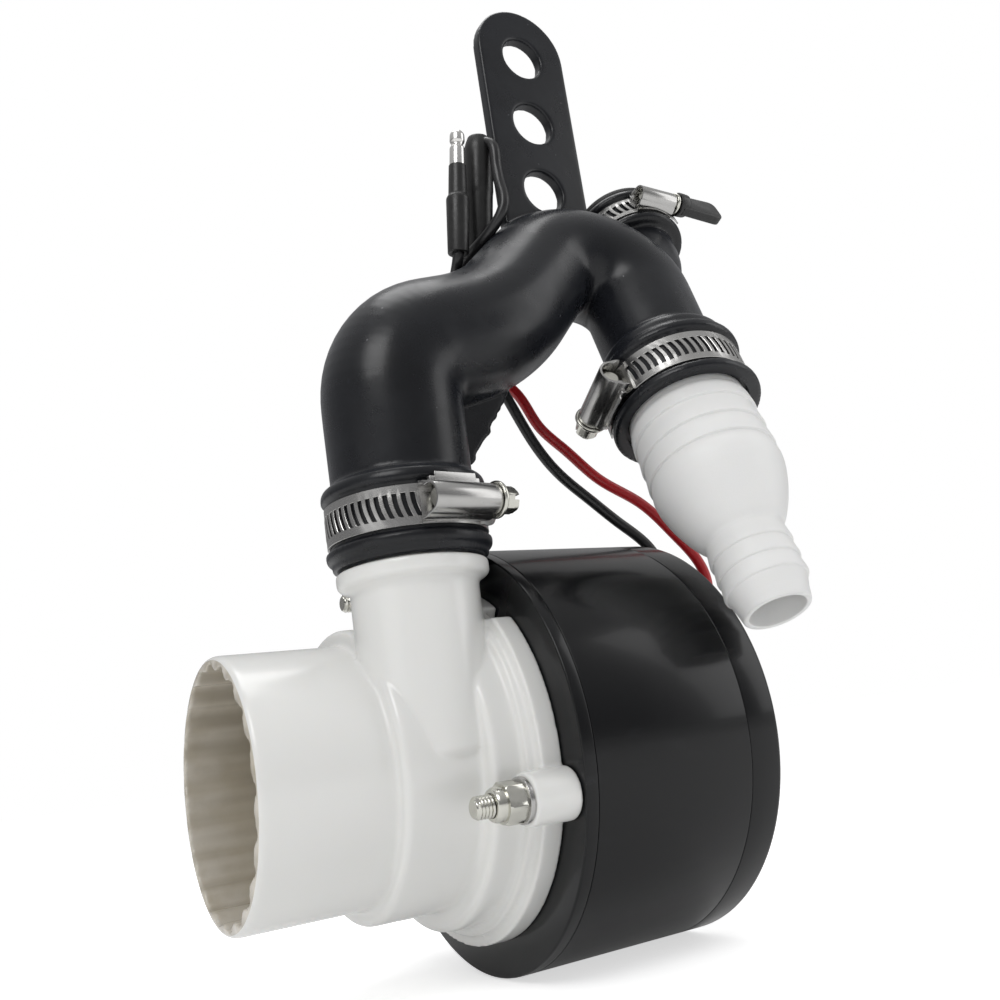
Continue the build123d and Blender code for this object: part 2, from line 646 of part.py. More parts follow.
def branch_bore():
    root, knee, foot = branch_path()
    body = rod(root, knee, BRANCH_NECK_R - 4) + Pos(*knee) * Sphere(BRANCH_NECK_R - 4)
    body += rod(knee, foot, BRANCH_NECK_R - 4)
    return body + branch_frame(2) * extrude(Circle(BRANCH_BORE_R), BRANCH_TOP - BRANCH_FOOT)


def branch_plug():
    plug = branch_frame(3) * extrude(Circle(BRANCH_BORE_R), BRANCH_TOP - BRANCH_FOOT - 3)
    cap = branch_plane(BRANCH_TOP) * extrude(Circle(BRANCH_R + 1.4), 2.5)
    hollow = branch_frame(2) * extrude(Circle(BRANCH_BORE_R - 2.5), BRANCH_TOP - BRANCH_FOOT - 3)
    return plug + fillet(cap.edges().sort_by(Axis.Z)[-1], 1.0) - hollow


def hose_adapter():
    body = revolve_profile(ADAPTER_PROFILE) - revolve_profile(ADAPTER_BORES)
    return outlet_plane() * body


def duckbill_valve():
    z0 = COLLAR_Z1
    body = neck_plane(z0) * extrude(Circle(VALVE_R), 5)
    body -= neck_plane(z0 - 1) * extrude(Circle(VALVE_R - 2), 7)
    bill = neck_plane(z0 + 5) * extrude(Circle(VALVE_R), 14, taper=30)
    hollow = neck_plane(z0 + 4.9) * extrude(Circle(VALVE_R - 2), 12, taper=30)
    return body + bill - hollow


def clamp_parts(seat_r, band_w, scale):
    """Band, worm housing and worm screw about Z; the housing sits at -Y and the screw points to +X."""
    seat = seat_r + 0.02
    band = extrude(Circle(seat + BAND_T), band_w / 2, both=True) - extrude(Circle(seat), band_w, both=True)
    length, width, height = HOUSING_LEN * scale, HOUSING_W * scale, HOUSING_H * scale
    top = -(seat + BAND_T + 0.02)
    mid = top - height / 2 + 0.2
    block = Pos(0, mid, 0) * (Rot(Y=90) * extrude(Circle(height / 2 - 0.2), length / 2, both=True))
    saddle = Pos(0, top - 1.4 * scale, 0) * Box(length, 2.8 * scale, width)
    wide = Pos(0, mid + 0.6, 0) * Box(length * 0.9, height * 0.62, width)
    housing = block + wide + saddle - extrude(Circle(seat + BAND_T + 0.02), width, both=True)
    bore = SCREW_R * scale + SCREW_GAP
    housing -= Pos(0, mid, 0) * (Rot(Y=90) * extrude(Circle(bore), length, both=True))
    shaft = Pos(-length / 2, mid, 0) * (Rot(Y=90) * extrude(Circle(SCREW_R * scale), length + 0.3))
    collar = Pos(length / 2 + 0.3, mid, 0) * (Rot(Y=90) * extrude(Circle(SCREW_COLLAR_R * scale), COLLAR_T))
    hexagon = RegularPolygon(SCREW_HEAD_AF * scale / 2, 6, major_radius=False)
    head_x = length / 2 + 0.3 + COLLAR_T
    head = Pos(head_x, mid, 0) * (Rot(Y=90) * extrude(hexagon, HEAD_LEN * scale))
    head -= Pos(head_x + HEAD_LEN * scale, mid, 0) * Box(2 * SLOT_DEPTH * scale, SLOT_W * scale, 12)
    return band, housing, shaft + collar + head


def lower_clamp_plane():
    return turned(neck_plane(LOWER_CUFF_Z + CUFF_LEN / 2), LOWER_CLAMP_TURN)


def turned(plane, degrees):
    return plane * Location((0, 0, 0), (0, 0, degrees))


def upper_clamp_place():
    frame = outlet_plane(-CUFF_LEN / 2)
    return turned(frame, UPPER_CLAMP_TURN)


def branch_clamp_place():
    return turned(branch_plane(), BRANCH_CLAMP_TURN)


def thumb_key(scale):
    """Flat finger key pushed over the hexagon of the branch clamp's screw."""
    mid = -(BRANCH_R + 0.02 + BAND_T + 0.02) - HOUSING_H * scale / 2 + 0.2
    head_x = HOUSING_LEN * scale / 2 + 0.3 + COLLAR_T
    head_end = head_x + HEAD_LEN * scale
    blade = Pos(head_end - 2 + KEY_LEN / 2, mid, 0) * Box(KEY_LEN, KEY_T, KEY_W)
    blade = fillet(blade.edges().filter_by(Axis.Y).group_by(Axis.X)[-1], KEY_W / 2 - 0.3)
    sleeve = Pos(head_end - 3.2, mid, 0) * (Rot(Y=90) * extrude(Circle(KEY_SLEEVE_R), 4.5))
    grip = Circle(SCREW_HEAD_AF * scale * 0.6)
    socket = Pos(head_x, mid, 0) * (Rot(Y=90) * extrude(grip, head_end - head_x))
    return blade + sleeve - socket


def connector_sleeve(foot, top, r, bore):
    a, b = Vector(*foot), Vector(*top)
    frame = Plane(origin=a, z_dir=b - a)
    length = (b - a).length
    body = frame * extrude(Circle(r), length)
    return body - frame * extrude(Circle(bore), length)


def male_pin():
    a, b = Vector(*MALE_FOOT), Vector(*MALE_TOP)
    frame = Plane(origin=b, z_dir=b - a)
    length = MALE_TIP_LEN
    profile = ((-6, MALE_PIN_R), (length * 0.45, MALE_PIN_R), (length * 0.55, MALE_PIN_R * 0.75),
               (length * 0.7, MALE_PIN_R), (length * 0.9, MALE_PIN_R), (length, MALE_PIN_R * 0.5))
    return frame * revolve_profile(profile)


def female_socket():
    a, b = Vector(*FEMALE_FOOT), Vector(*FEMALE_TOP)
    frame = Plane(origin=a + (b - a) * 0.2, z_dir=b - a)
    return frame * (extrude(Circle(3.2), 18) - extrude(Circle(2.5), 14))


def lead(points):
    return tube_along(points, LEAD_R)


def save(name, shape):
    solids = shape.solids()
    part = solids[0] if len(solids) == 1 else Compound(children=list(solids))
    export_step(part, f"parts/{name}.step")


def build():
    nodes = {
        "pump_housing": pump_housing(),
        "seal_plate": seal_plate(),
        "housing_o_ring": housing_o_ring(),
        "shaft_seal": shaft_seal(),
        "stud_bolts": stud_bolts(),
        "stud_washers": washers(),
        "lock_nuts": lock_nuts(),
        "cover_front_ring": cover_front_ring(),
        "cover_sleeve": cover_sleeve(),
        "cover_rear_cap": cover_rear_cap(),
        "cover_screws": cover_screws(),
        "cable_grommet": cable_grommet(),
        "motor_front_plate": motor_front_plate(),
        "front_bearing": front_bearing(),
        "rear_bearing": rear_bearing(),
        "motor_can": motor_can(),
        "motor_magnets": motor_magnets(),
        "motor_end_bell": motor_end_bell(),
        "motor_through_bolts": motor_through_bolts(),
        "brush_card": brush_card(),
        "brush_holders": brush_holders(),
        "brush_upper": brush(1),
        "brush_lower": brush(-1),
        "brush_spring_upper": brush_spring(1),
        "brush_spring_lower": brush_spring(-1),
        "motor_shaft": motor_shaft(),
        "armature_core": armature_core(),
        "armature_windings": armature_windings(),
        "commutator": commutator(),
        "water_slinger": water_slinger(),
        "impeller": impeller(),
        "chopper_plate": chopper_plate(),
        "impeller_nut": impeller_nut(),
        "discharge_hose": discharge_hose(),
        "hose_adapter": hose_adapter(),
        "branch_plug": branch_plug(),
        "duckbill_valve": duckbill_valve(),
        "red_lead": lead(RED_LEAD),
        "black_lead": lead(BLACK_LEAD),
        "male_sleeve": connector_sleeve(MALE_FOOT, MALE_TOP, MALE_R, MALE_PIN_R),
        "bullet_pin": male_pin(),
        "female_sleeve": connector_sleeve(FEMALE_FOOT, FEMALE_TOP, FEMALE_R, 3.2),
        "bullet_socket": female_socket(),
    }
    clamps = (
        ("lower", CUFF_R, BAND_W, 1.0, lower_clamp_plane()),
        ("upper", CUFF_R, BAND_W, 1.0, upper_clamp_place()),
        ("branch", BRANCH_R, SMALL_BAND_W, SMALL_CLAMP_SCALE, branch_clamp_place()),
    )
    for name, seat, width, scale, place in clamps:
        band, housing, screw = clamp_parts(seat, width, scale)
        nodes[f"{name}_clamp_band"] = place * band
        nodes[f"{name}_clamp_housing"] = place * housing
        nodes[f"{name}_clamp_screw"] = place * screw
    nodes["thumb_key"] = branch_clamp_place() * thumb_key(SMALL_CLAMP_SCALE)
    for name, shape in nodes.items():
        save(name, shape)


build()
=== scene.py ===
import json
import math
import random

import bpy
import numpy as np
from mathutils import Matrix, Vector

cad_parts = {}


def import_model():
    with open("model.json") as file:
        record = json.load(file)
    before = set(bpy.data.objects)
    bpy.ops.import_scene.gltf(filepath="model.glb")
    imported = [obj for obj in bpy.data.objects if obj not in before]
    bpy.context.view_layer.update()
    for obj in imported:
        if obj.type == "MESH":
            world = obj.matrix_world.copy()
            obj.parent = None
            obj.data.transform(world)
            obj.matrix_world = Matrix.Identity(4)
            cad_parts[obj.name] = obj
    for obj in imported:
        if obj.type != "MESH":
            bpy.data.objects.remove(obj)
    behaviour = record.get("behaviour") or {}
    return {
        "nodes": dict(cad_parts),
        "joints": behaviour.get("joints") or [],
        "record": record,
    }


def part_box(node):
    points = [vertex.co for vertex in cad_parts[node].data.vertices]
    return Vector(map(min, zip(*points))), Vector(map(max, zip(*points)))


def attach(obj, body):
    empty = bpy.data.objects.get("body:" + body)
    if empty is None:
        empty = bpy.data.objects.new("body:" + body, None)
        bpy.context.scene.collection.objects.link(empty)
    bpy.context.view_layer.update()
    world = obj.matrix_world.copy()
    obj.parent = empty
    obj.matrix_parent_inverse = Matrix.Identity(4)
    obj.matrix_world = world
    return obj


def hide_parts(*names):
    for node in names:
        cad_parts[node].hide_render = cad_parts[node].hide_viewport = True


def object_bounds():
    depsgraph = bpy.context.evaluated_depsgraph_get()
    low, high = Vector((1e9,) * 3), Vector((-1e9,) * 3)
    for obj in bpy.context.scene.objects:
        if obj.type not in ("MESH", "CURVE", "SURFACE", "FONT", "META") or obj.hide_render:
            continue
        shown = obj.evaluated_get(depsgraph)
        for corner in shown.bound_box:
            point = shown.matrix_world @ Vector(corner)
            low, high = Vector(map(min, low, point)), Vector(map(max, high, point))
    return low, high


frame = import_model()
cad_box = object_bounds()
record = frame["record"]

# Lengths in this script are millimetres in the CAD frame. Meshes are written in metres.
MM = 0.001
UP = Vector((0, 0, 1))
PUMP_AXIS = Vector((1, 0, 0))


def in_mm(v):
    return Vector(v) / MM


def centre_of(node):
    lo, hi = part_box(node)
    return in_mm((lo + hi) / 2)


def x_span(node):
    lo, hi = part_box(node)
    return lo.x / MM, hi.x / MM


def place(origin, z_axis, x_hint=(1, 0, 0)):
    """Matrix whose local Z lies on z_axis and whose local X is as near x_hint as it can be."""
    z = Vector(z_axis).normalized()
    x = Vector(x_hint)
    if x.cross(z).length < 1e-3:
        x = Vector((0, 1, 0))
    x = (x - z * x.dot(z)).normalized()
    y = z.cross(x)
    m = Matrix((x, y, z)).transposed().to_4x4()
    m.translation = Vector(origin)
    return m


# ---------------------------------------------------------------- places from the frame
mounts = {m["name"]: m for m in record["mounts"]}
joints = {j["name"]: j for j in frame["joints"]}
RING_X0, RING_X1 = x_span("cover_front_ring")
SLEEVE_X0, SLEEVE_X1 = x_span("cover_sleeve")
CAP_X1 = x_span("cover_rear_cap")[1]
COVER_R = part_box("cover_sleeve")[1].z / MM
COVER_BORE_R = 60.7
NECK_AT = centre_of("lower_clamp_band")
OUTLET_DIR = Vector(mounts["adapter_outlet"]["axis"]).normalized()
BARB_OFFSET = 62.0                      # small barbs lie this far past the cuff mouth
OUTLET = in_mm(mounts["adapter_outlet"]["pos_m"]) - OUTLET_DIR * BARB_OFFSET
BRANCH = centre_of("branch_clamp_band")
BRANCH_DIR = Vector((0.054, 0.43, 0.90)).normalized()
STRAP_LOW = in_mm(mounts["strap_holes_lower"]["pos_m"])
STRAP_PITCH = mounts["strap_holes_lower"]["dims"]["spacing_y_mm"]
INLET_R = mounts["inlet_socket"]["dims"]["r_mm"] + 0.05

ALONG_PUMP = place((0, 0, 0), PUMP_AXIS, (0, 1, 0))
NECK_BASE = place((NECK_AT.x, NECK_AT.y, 0), UP)

# ---------------------------------------------------------------- driving dimensions
FLUTES = 21
FLUTE_DEPTH = 1.7
MOUTH_BORE_R = 34.9
SOCKET_DEPTH = 34.0
STUD_CIRCLE_R = 55.3
STUD_ANGLES = (192.8, 72.8, 312.8)
CUFF_R, CUFF_BEAD_R, CUFF_LEN = 22.7, 24.3, 21.0
CUFF_BASE_Z = NECK_AT.z - CUFF_LEN / 2
BRANCH_SEAT_R = 17.0
STRAP_HOLE_R = 8.0
BAND_T = 0.8
FIT_GAP = 0.02              # between a seat, its band and the worm housing
HOUSING_H, HOUSING_HALF_LEN = 8.6, 11.0
COLLAR_T, HEAD_LEN = 1.3, 5.0
HOSE_CORNERS = ((NECK_AT.x, NECK_AT.y, 74.0), (NECK_AT.x, NECK_AT.y, 120.7), (93.0, -25.0, 132.0),
                (157.4, -8.5, 199.1))
HOSE_BENDS = (20.5, 59.0, 21.0)
HOSE_RADII = (20.8, 21.2, 21.4, 20.9, 20.3, 19.8, 19.2, 18.8, 18.4)


# ---------------------------------------------------------------- mesh helpers
def make_object(name, vertices, faces, matrix=None):
    pts = np.array(vertices, float).reshape(-1, 3)
    if matrix is not None:
        m = np.array(matrix)
        pts = pts @ m[:3, :3].T + m[:3, 3]
    mesh = bpy.data.meshes.new(name)
    mesh.from_pydata((pts * MM).tolist(), [], faces)
    mesh.validate()
    obj = bpy.data.objects.new(name, mesh)
    bpy.context.scene.collection.objects.link(obj)
    return obj


def bake(obj):
    """Applies the modifiers and keeps only the resulting mesh."""
    graph = bpy.context.evaluated_depsgraph_get()
    mesh = bpy.data.meshes.new_from_object(obj.evaluated_get(graph))
    old = obj.data
    obj.modifiers.clear()
    obj.data = mesh
    bpy.data.meshes.remove(old)
    mesh.name = obj.name
    return obj


def smooth_shade(obj, degrees=35):
    obj.data.polygons.foreach_set("use_smooth", [True] * len(obj.data.polygons))
    obj.data.set_sharp_from_angle(angle=math.radians(degrees))
    return obj


def bevel(obj, width, segments=2, degrees=35):
    m = obj.modifiers.new("bevel", "BEVEL")
    m.width = width * MM
    m.segments = segments
    m.limit_method = "ANGLE"
    m.angle_limit = math.radians(degrees)
    m.use_clamp_overlap = True
    return bake(obj)


def boolean(obj, other, operation):
    m = obj.modifiers.new("boolean", "BOOLEAN")
    m.object = other
    m.operation = operation
    m.solver = "EXACT"
    bake(obj)
    bpy.data.objects.remove(other)
    return obj


def remesh(obj, voxel, smoothing, factor=0.5):
    m = obj.modifiers.new("remesh", "REMESH")
    m.mode = "VOXEL"
    m.voxel_size = voxel * MM
    bake(obj)
    m = obj.modifiers.new("smooth", "SMOOTH")
    m.factor = factor
    m.iterations = smoothing
    return bake(obj)


def join(name, objects):
    """One mesh from several, with every vertex kept where it is."""
    vertices, faces = [], []
    for obj in objects:
        start = len(vertices)
        vertices += [tuple(obj.matrix_world @ v.co / MM) for v in obj.data.vertices]
        faces += [[start + i for i in p.vertices] for p in obj.data.polygons]
        bpy.data.objects.remove(obj)
    return make_object(name, vertices, faces)


def rounded(points, radius, steps=4, closed=False):
    """The outline with each corner turned into a short curve. A point may carry its own radius."""
    pts = [Vector(p[:2]) for p in points]
    own = [p[2] if len(p) > 2 else radius for p in points]
    result = []
    count = len(pts)
    for i, p in enumerate(pts):
        if not closed and i in (0, count - 1):
            result.append((p.x, p.y))
            continue
        before, after = pts[i - 1], pts[(i + 1) % count]
        a, b = before - p, after - p
        reach = min(own[i], a.length * 0.45, b.length * 0.45)
        if reach < 1e-4:
            result.append((p.x, p.y))
            continue
        start, end = p + a.normalized() * reach, p + b.normalized() * reach
        for k in range(steps + 1):
            t = k / steps
            q = start * (1 - t) ** 2 + p * (2 * t * (1 - t)) + end * t ** 2
            result.append((q.x, q.y))
    return result


def lathe(name, profile, matrix, sides=144, closed=False):
    """Solid of revolution about local Z from (height, radius) points."""
    angles = [2 * math.pi * k / sides for k in range(sides)]
    vertices = [(r * math.cos(a), r * math.sin(a), h) for h, r in profile for a in angles]
    rows = len(profile)
    faces = []
    for i in range(rows if closed else rows - 1):
        here, ahead = i * sides, ((i + 1) % rows) * sides
        for k in range(sides):
            n = (k + 1) % sides
            faces.append((here + k, here + n, ahead + n, ahead + k))
    if not closed:
        faces.append(tuple(reversed(range(sides))))
        faces.append(tuple(range((rows - 1) * sides, rows * sides)))
    return make_object(name, vertices, faces, matrix)


def prism(name, outline, z0, z1, matrix):
    """Straight extrusion of a closed outline along local Z."""
    n = len(outline)
    vertices = [(x, y, z) for z in (z0, z1) for x, y in outline]
    faces = [(i, (i + 1) % n, n + (i + 1) % n, n + i) for i in range(n)]
    faces.append(tuple(reversed(range(n))))
    faces.append(tuple(range(n, 2 * n)))
    return make_object(name, vertices, faces, matrix)


def tube(name, points, radii, sides=64):
    """Round bar along points, each with its own radius."""
    pts = [Vector(p) for p in points]
    tangents = [(pts[min(i + 1, len(pts) - 1)] - pts[max(i - 1, 0)]).normalized() for i in range(len(pts))]
    side = tangents[0].orthogonal().normalized()
    vertices, faces = [], []
    for p, t, r in zip(pts, tangents, radii):
        side = (side - t * side.dot(t)).normalized()
        other = t.cross(side)
        for k in range(sides):
            a = 2 * math.pi * k / sides
            vertices.append(tuple(p + (side * math.cos(a) + other * math.sin(a)) * r))
    for i in range(len(pts) - 1):
        for k in range(sides):
            n = (k + 1) % sides
            faces.append((i * sides + k, i * sides + n, (i + 1) * sides + n, (i + 1) * sides + k))
    faces.append(tuple(reversed(range(sides))))
    faces.append(tuple(range((len(pts) - 1) * sides, len(pts) * sides)))
    return make_object(name, vertices, faces)


def on_circle(radius, degrees):
    a = math.radians(degrees)
    return radius * math.cos(a), radius * math.sin(a)


def bent_path(corners, bends, step=2.0):
    """Points along straight runs joined by circular bends."""
    pts = [Vector(c) for c in corners]
    path = [pts[0]]
    for i, radius in enumerate(bends, 1):
        back = (pts[i - 1] - pts[i]).normalized()
        ahead = (pts[i + 1] - pts[i]).normalized()
        half = back.angle(ahead) / 2
        reach = radius / math.tan(half)
        centre = pts[i] + (back + ahead).normalized() * (radius / math.sin(half))
        first = pts[i] + back * reach - centre
        last = pts[i] + ahead * reach - centre
        turn = first.angle(last)
        axis = first.cross(last).normalized()
        count = max(6, int(turn * radius / step))
        path += [centre + Matrix.Rotation(turn * k / count, 3, axis) @ first for k in range(count + 1)]
    path.append(pts[-1])
    return spaced(path, step)


def spaced(path, step):
    """The same path with points at even distances."""
    lengths = np.cumsum([0] + [(b - a).length for a, b in zip(path, path[1:])])
    count = int(lengths[-1] / step)
    wanted = np.linspace(0, lengths[-1], count)
    coords = np.array([tuple(p) for p in path])
    return [Vector([np.interp(w, lengths, coords[:, k]) for k in range(3)]) for w in wanted]


# ---------------------------------------------------------------- materials
class Nodes:
    """Small wrapper that adds and links shader nodes."""

    def __init__(self, name):
        self.material = bpy.data.materials.new(name)
        self.material.use_nodes = True
        self.tree = self.material.node_tree
        self.shader = self.tree.nodes["Principled BSDF"]
        self.position = self.add("ShaderNodeTexCoord").outputs["Object"]

    def add(self, kind, **inputs):
        node = self.tree.nodes.new(kind)
        for key, value in inputs.items():
            self.feed(node.inputs[key.replace("_", " ")], value)
        return node

    def feed(self, socket, value):
        if isinstance(value, bpy.types.NodeSocket):
            self.tree.links.new(value, socket)
        else:
            socket.default_value = value

    def set(self, **inputs):
        for key, value in inputs.items():
            self.feed(self.shader.inputs[key.replace("_", " ")], value)

    def noise(self, scale, detail=3.0, roughness=0.55, stretch=None):
        vector = self.position
        if stretch:
            node = self.tree.nodes.new("ShaderNodeMapping")
            self.feed(node.inputs["Vector"], vector)
            node.inputs["Scale"].default_value = stretch
            vector = node.outputs["Vector"]
        return self.add("ShaderNodeTexNoise", Vector=vector, Scale=scale, Detail=detail,
                        Roughness=roughness).outputs["Fac"]

    def ramp(self, value, low, high, to_low=0.0, to_high=1.0):
        node = self.tree.nodes.new("ShaderNodeMapRange")
        for socket, v in zip(node.inputs, (value, low, high, to_low, to_high)):
            self.feed(socket, v)
        return node.outputs["Result"]

    def math(self, operation, a, b=0.0):
        node = self.tree.nodes.new("ShaderNodeMath")
        node.operation = operation
        self.feed(node.inputs[0], a)
        self.feed(node.inputs[1], b)
        return node.outputs["Value"]

    def mix(self, amount, a, b):
        node = self.tree.nodes.new("ShaderNodeMix")
        node.data_type = "RGBA"
        self.feed(node.inputs["Factor"], amount)
        self.feed(node.inputs["A"], a)
        self.feed(node.inputs["B"], b)
        return node.outputs["Result"]

    def axis(self, letter):
        split = self.add("ShaderNodeSeparateXYZ", Vector=self.position)
        return split.outputs[letter]

    def bump(self, height, strength, distance):
        node = self.add("ShaderNodeBump", Height=height, Strength=strength, Distance=distance)
        self.set(Normal=node.outputs["Normal"])

    def pointiness(self):
        return self.tree.nodes.new("ShaderNodeNewGeometry").outputs["Pointiness"]


def grey(value):
    return value, value, value, 1.0


def white_plastic():
    m = Nodes("white_plastic")
    cloud = m.noise(22, 2)
    clean = m.mix(cloud, (0.80, 0.80, 0.778, 1), (0.825, 0.825, 0.805, 1))
    y_squared, z_squared = m.math("POWER", m.axis("Y"), 2.0), m.math("POWER", m.axis("Z"), 2.0)
    radius = m.math("SQRT", m.math("ADD", y_squared, z_squared))
    inside = m.math("MULTIPLY", m.math("LESS_THAN", radius, (INLET_R - 1.0) * MM),
                    m.math("LESS_THAN", m.axis("X"), 37 * MM))
    # Inside the socket: beige, darker deeper in.
    depth = m.ramp(m.axis("X"), 0.0, SOCKET_DEPTH * MM, 0.0, 1.0)
    warm = m.mix(depth, (0.66, 0.62, 0.55, 1), (0.42, 0.375, 0.29, 1))
    # Random blotches of stain.
    stain_and_shade = m.mix(m.ramp(m.noise(90, 4), 0.45, 0.75), warm, (0.50, 0.45, 0.36, 1))
    # Painted shade: bands by angle round the bore darken each flute to stand in for the shade that falls in it,
    # mixed over the stain.
    angle = m.math("MULTIPLY", m.math("ARCTAN2", m.axis("Z"), m.axis("Y")), float(FLUTES))
    shade = m.ramp(m.math("SINE", angle), -0.6, 0.8)
    stain_and_shade = m.mix(m.math("MULTIPLY", shade, 0.45), stain_and_shade, (0.33, 0.29, 0.22, 1))
    m.set(Base_Color=m.mix(inside, clean, stain_and_shade), Roughness=m.ramp(m.noise(40, 2), 0.3, 0.7, 0.23, 0.27))
    m.set(Coat_Weight=0.25, Coat_Roughness=0.12)
    m.set(Subsurface_Weight=0.06, Subsurface_Radius=(0.004, 0.003, 0.002))
    m.bump(m.noise(160, 2), 0.03, 0.0003)
    return m.material


def adapter_plastic():
    m = Nodes("adapter_plastic")
    tone = m.mix(m.noise(60, 3), (0.83, 0.83, 0.82, 1), (0.88, 0.88, 0.87, 1))
    m.set(Base_Color=tone, Roughness=m.ramp(m.noise(700, 3), 0.3, 0.7, 0.42, 0.56))
    m.set(Subsurface_Weight=0.05, Subsurface_Radius=(0.004, 0.003, 0.002))
    m.bump(m.noise(1300, 4), 0.12, 0.0003)
    return m.material


def gloss_black():
    m = Nodes("gloss_black")
    scuff = m.ramp(m.noise(140, 5, 0.7, (0.25, 1, 1)), 0.58, 0.72)
    m.set(Base_Color=m.mix(scuff, (0.0045, 0.0047, 0.0054, 1), (0.010, 0.0105, 0.012, 1)))
    edge = m.ramp(m.pointiness(), 0.52, 0.60, 0.0, 0.12)
    m.set(Roughness=m.math("ADD", m.ramp(m.noise(25, 3), 0.3, 0.7, 0.18, 0.26), edge))
    m.set(Specular_IOR_Level=0.27, Coat_Weight=0.12, Coat_Roughness=0.08)
    m.bump(m.noise(160, 2), 0.03, 0.0005)
    return m.material


def hose_rubber():
    m = Nodes("hose_rubber")
    bloom = m.noise(26, 4, 0.6)
    base = m.mix(m.ramp(bloom, 0.35, 0.7), (0.0050, 0.0054, 0.0068, 1), (0.0115, 0.0125, 0.0155, 1))
    smudge = m.ramp(m.noise(75, 5, 0.75), 0.66, 0.76, 0.0, 0.4)
    base = m.mix(smudge, base, (0.034, 0.040, 0.052, 1))
    speck = m.add("ShaderNodeTexVoronoi", Vector=m.position, Scale=210.0)
    near = m.ramp(speck.outputs["Distance"], 0.05, 0.09, 1.0, 0.0)
    rare = m.math("GREATER_THAN", m.noise(500, 0), 0.63)
    base = m.mix(m.math("MULTIPLY", near, rare), base, (0.16, 0.16, 0.17, 1))
    m.set(Base_Color=base, Roughness=m.ramp(m.noise(95, 4), 0.3, 0.7, 0.24, 0.34))
    m.set(Specular_IOR_Level=0.36, Sheen_Weight=0.02, Sheen_Roughness=0.5, Sheen_Tint=(0.65, 0.75, 1.0, 1))
    fine = m.math("MULTIPLY", m.noise(1500, 2), 0.25)
    m.bump(m.math("ADD", m.noise(190, 4, 0.6), fine), 0.10, 0.0004)
    return m.material


def dark_polymer(name, tone, rough, bump_scale):
    m = Nodes(name)
    wear = m.ramp(m.pointiness(), 0.53, 0.62)
    lift = (tone * 3 + 0.01,) * 3 + (1,)
    m.set(Base_Color=m.mix(wear, m.mix(m.noise(150, 3), grey(tone), grey(tone * 1.7)), lift))
    m.set(Roughness=m.ramp(m.noise(300, 3), 0.3, 0.7, rough - 0.08, rough + 0.08))
    m.bump(m.noise(bump_scale, 3), 0.12, 0.0003)
    return m.material


def steel(name, tone, rough, stretch=(1, 1, 1), warm=0.0):
    m = Nodes(name)
    lines = m.noise(900, 4, 0.7, stretch)
    low = (tone * 0.93, tone * 0.92, tone * (0.90 - warm), 1)
    base = m.mix(lines, low, (tone, tone * 0.99, tone * (0.97 - warm), 1))
    dull = m.ramp(m.noise(120, 2), 0.5, 0.75, 0.0, 0.2)
    m.set(Base_Color=m.mix(dull, base, (tone * 0.6, tone * 0.58, tone * 0.54, 1)), Metallic=1.0)
    streaks = m.ramp(lines, 0.3, 0.7, rough - 0.02, rough + 0.03)
    m.set(Roughness=m.math("ADD", streaks, m.math("MULTIPLY", dull, 0.1)))
    m.bump(lines, 0.015, 0.0002)
    return m.material


def insulation(name, low, high, sleeve_from=9.0):
    """Lead jacket. Above the height sleeve_from, in metres, it wears a black sleeve."""
    m = Nodes(name)
    jacket = m.mix(m.noise(80, 3), low, high)
    sleeved = m.math("GREATER_THAN", m.axis("Z"), sleeve_from)
    m.set(Base_Color=m.mix(sleeved, jacket, (0.008, 0.008, 0.009, 1)))
    m.set(Roughness=m.ramp(m.noise(240, 3), 0.3, 0.7, 0.28, 0.42))
    m.set(Coat_Weight=0.15, Coat_Roughness=0.25)
    m.bump(m.noise(260, 3), 0.14, 0.0004)
    return m.material


def copper_wire():
    m = Nodes("copper_wire")
    lines = m.add("ShaderNodeTexWave", Vector=m.position, Scale=700.0, Distortion=1.5)
    m.set(Base_Color=m.mix(lines.outputs["Fac"], (0.35, 0.12, 0.04, 1), (0.72, 0.33, 0.14, 1)), Metallic=1.0)
    m.set(Roughness=0.3)
    m.bump(lines.outputs["Fac"], 0.4, 0.0003)
    return m.material


def laminated(name, low, high):
    m = Nodes(name)
    sheets = m.math("FRACT", m.math("MULTIPLY", m.axis("X"), 1800.0))
    m.set(Base_Color=m.mix(sheets, low, high), Metallic=0.8)
    m.set(Roughness=m.ramp(m.noise(400, 3), 0.3, 0.7, 0.35, 0.5))
    m.bump(sheets, 0.3, 0.0002)
    return m.material


WHITE = white_plastic()
ADAPTER = adapter_plastic()
GLOSS = gloss_black()
RUBBER = hose_rubber()
SOFT = dark_polymer("soft_rubber", 0.012, 0.6, 900)
BLACK = dark_polymer("black_moulding", 0.008, 0.36, 600)
IMPELLER = dark_polymer("impeller_moulding", 0.05, 0.45, 500)
CARD = dark_polymer("laminate_card", 0.09, 0.6, 900)
CARBON = dark_polymer("pressed_carbon", 0.03, 0.5, 1500)
PAINT = dark_polymer("can_paint", 0.02, 0.4, 800)
STAINLESS = steel("stainless_band", 0.50, 0.24, (1, 1, 6))
BRIGHT = steel("bright_fastener", 0.66, 0.20, (1, 1, 1), 0.06)
TIN = steel("tinned_pin", 0.82, 0.22)
BRASS = steel("drawn_brass", 0.70, 0.3, (1, 1, 3), 0.4)
ALLOY = steel("cast_alloy", 0.55, 0.45)
RED = insulation("red_insulation", (0.40, 0.006, 0.012, 1), (0.52, 0.012, 0.018, 1), 0.148)
DARK_LEAD = insulation("black_insulation", (0.006, 0.006, 0.007, 1), (0.012, 0.012, 0.013, 1))
COPPER = copper_wire()
LAMINATION = laminated("stacked_sheet", (0.16, 0.16, 0.17, 1), (0.34, 0.34, 0.36, 1))
FERRITE = dark_polymer("ferrite", 0.045, 0.7, 1200)

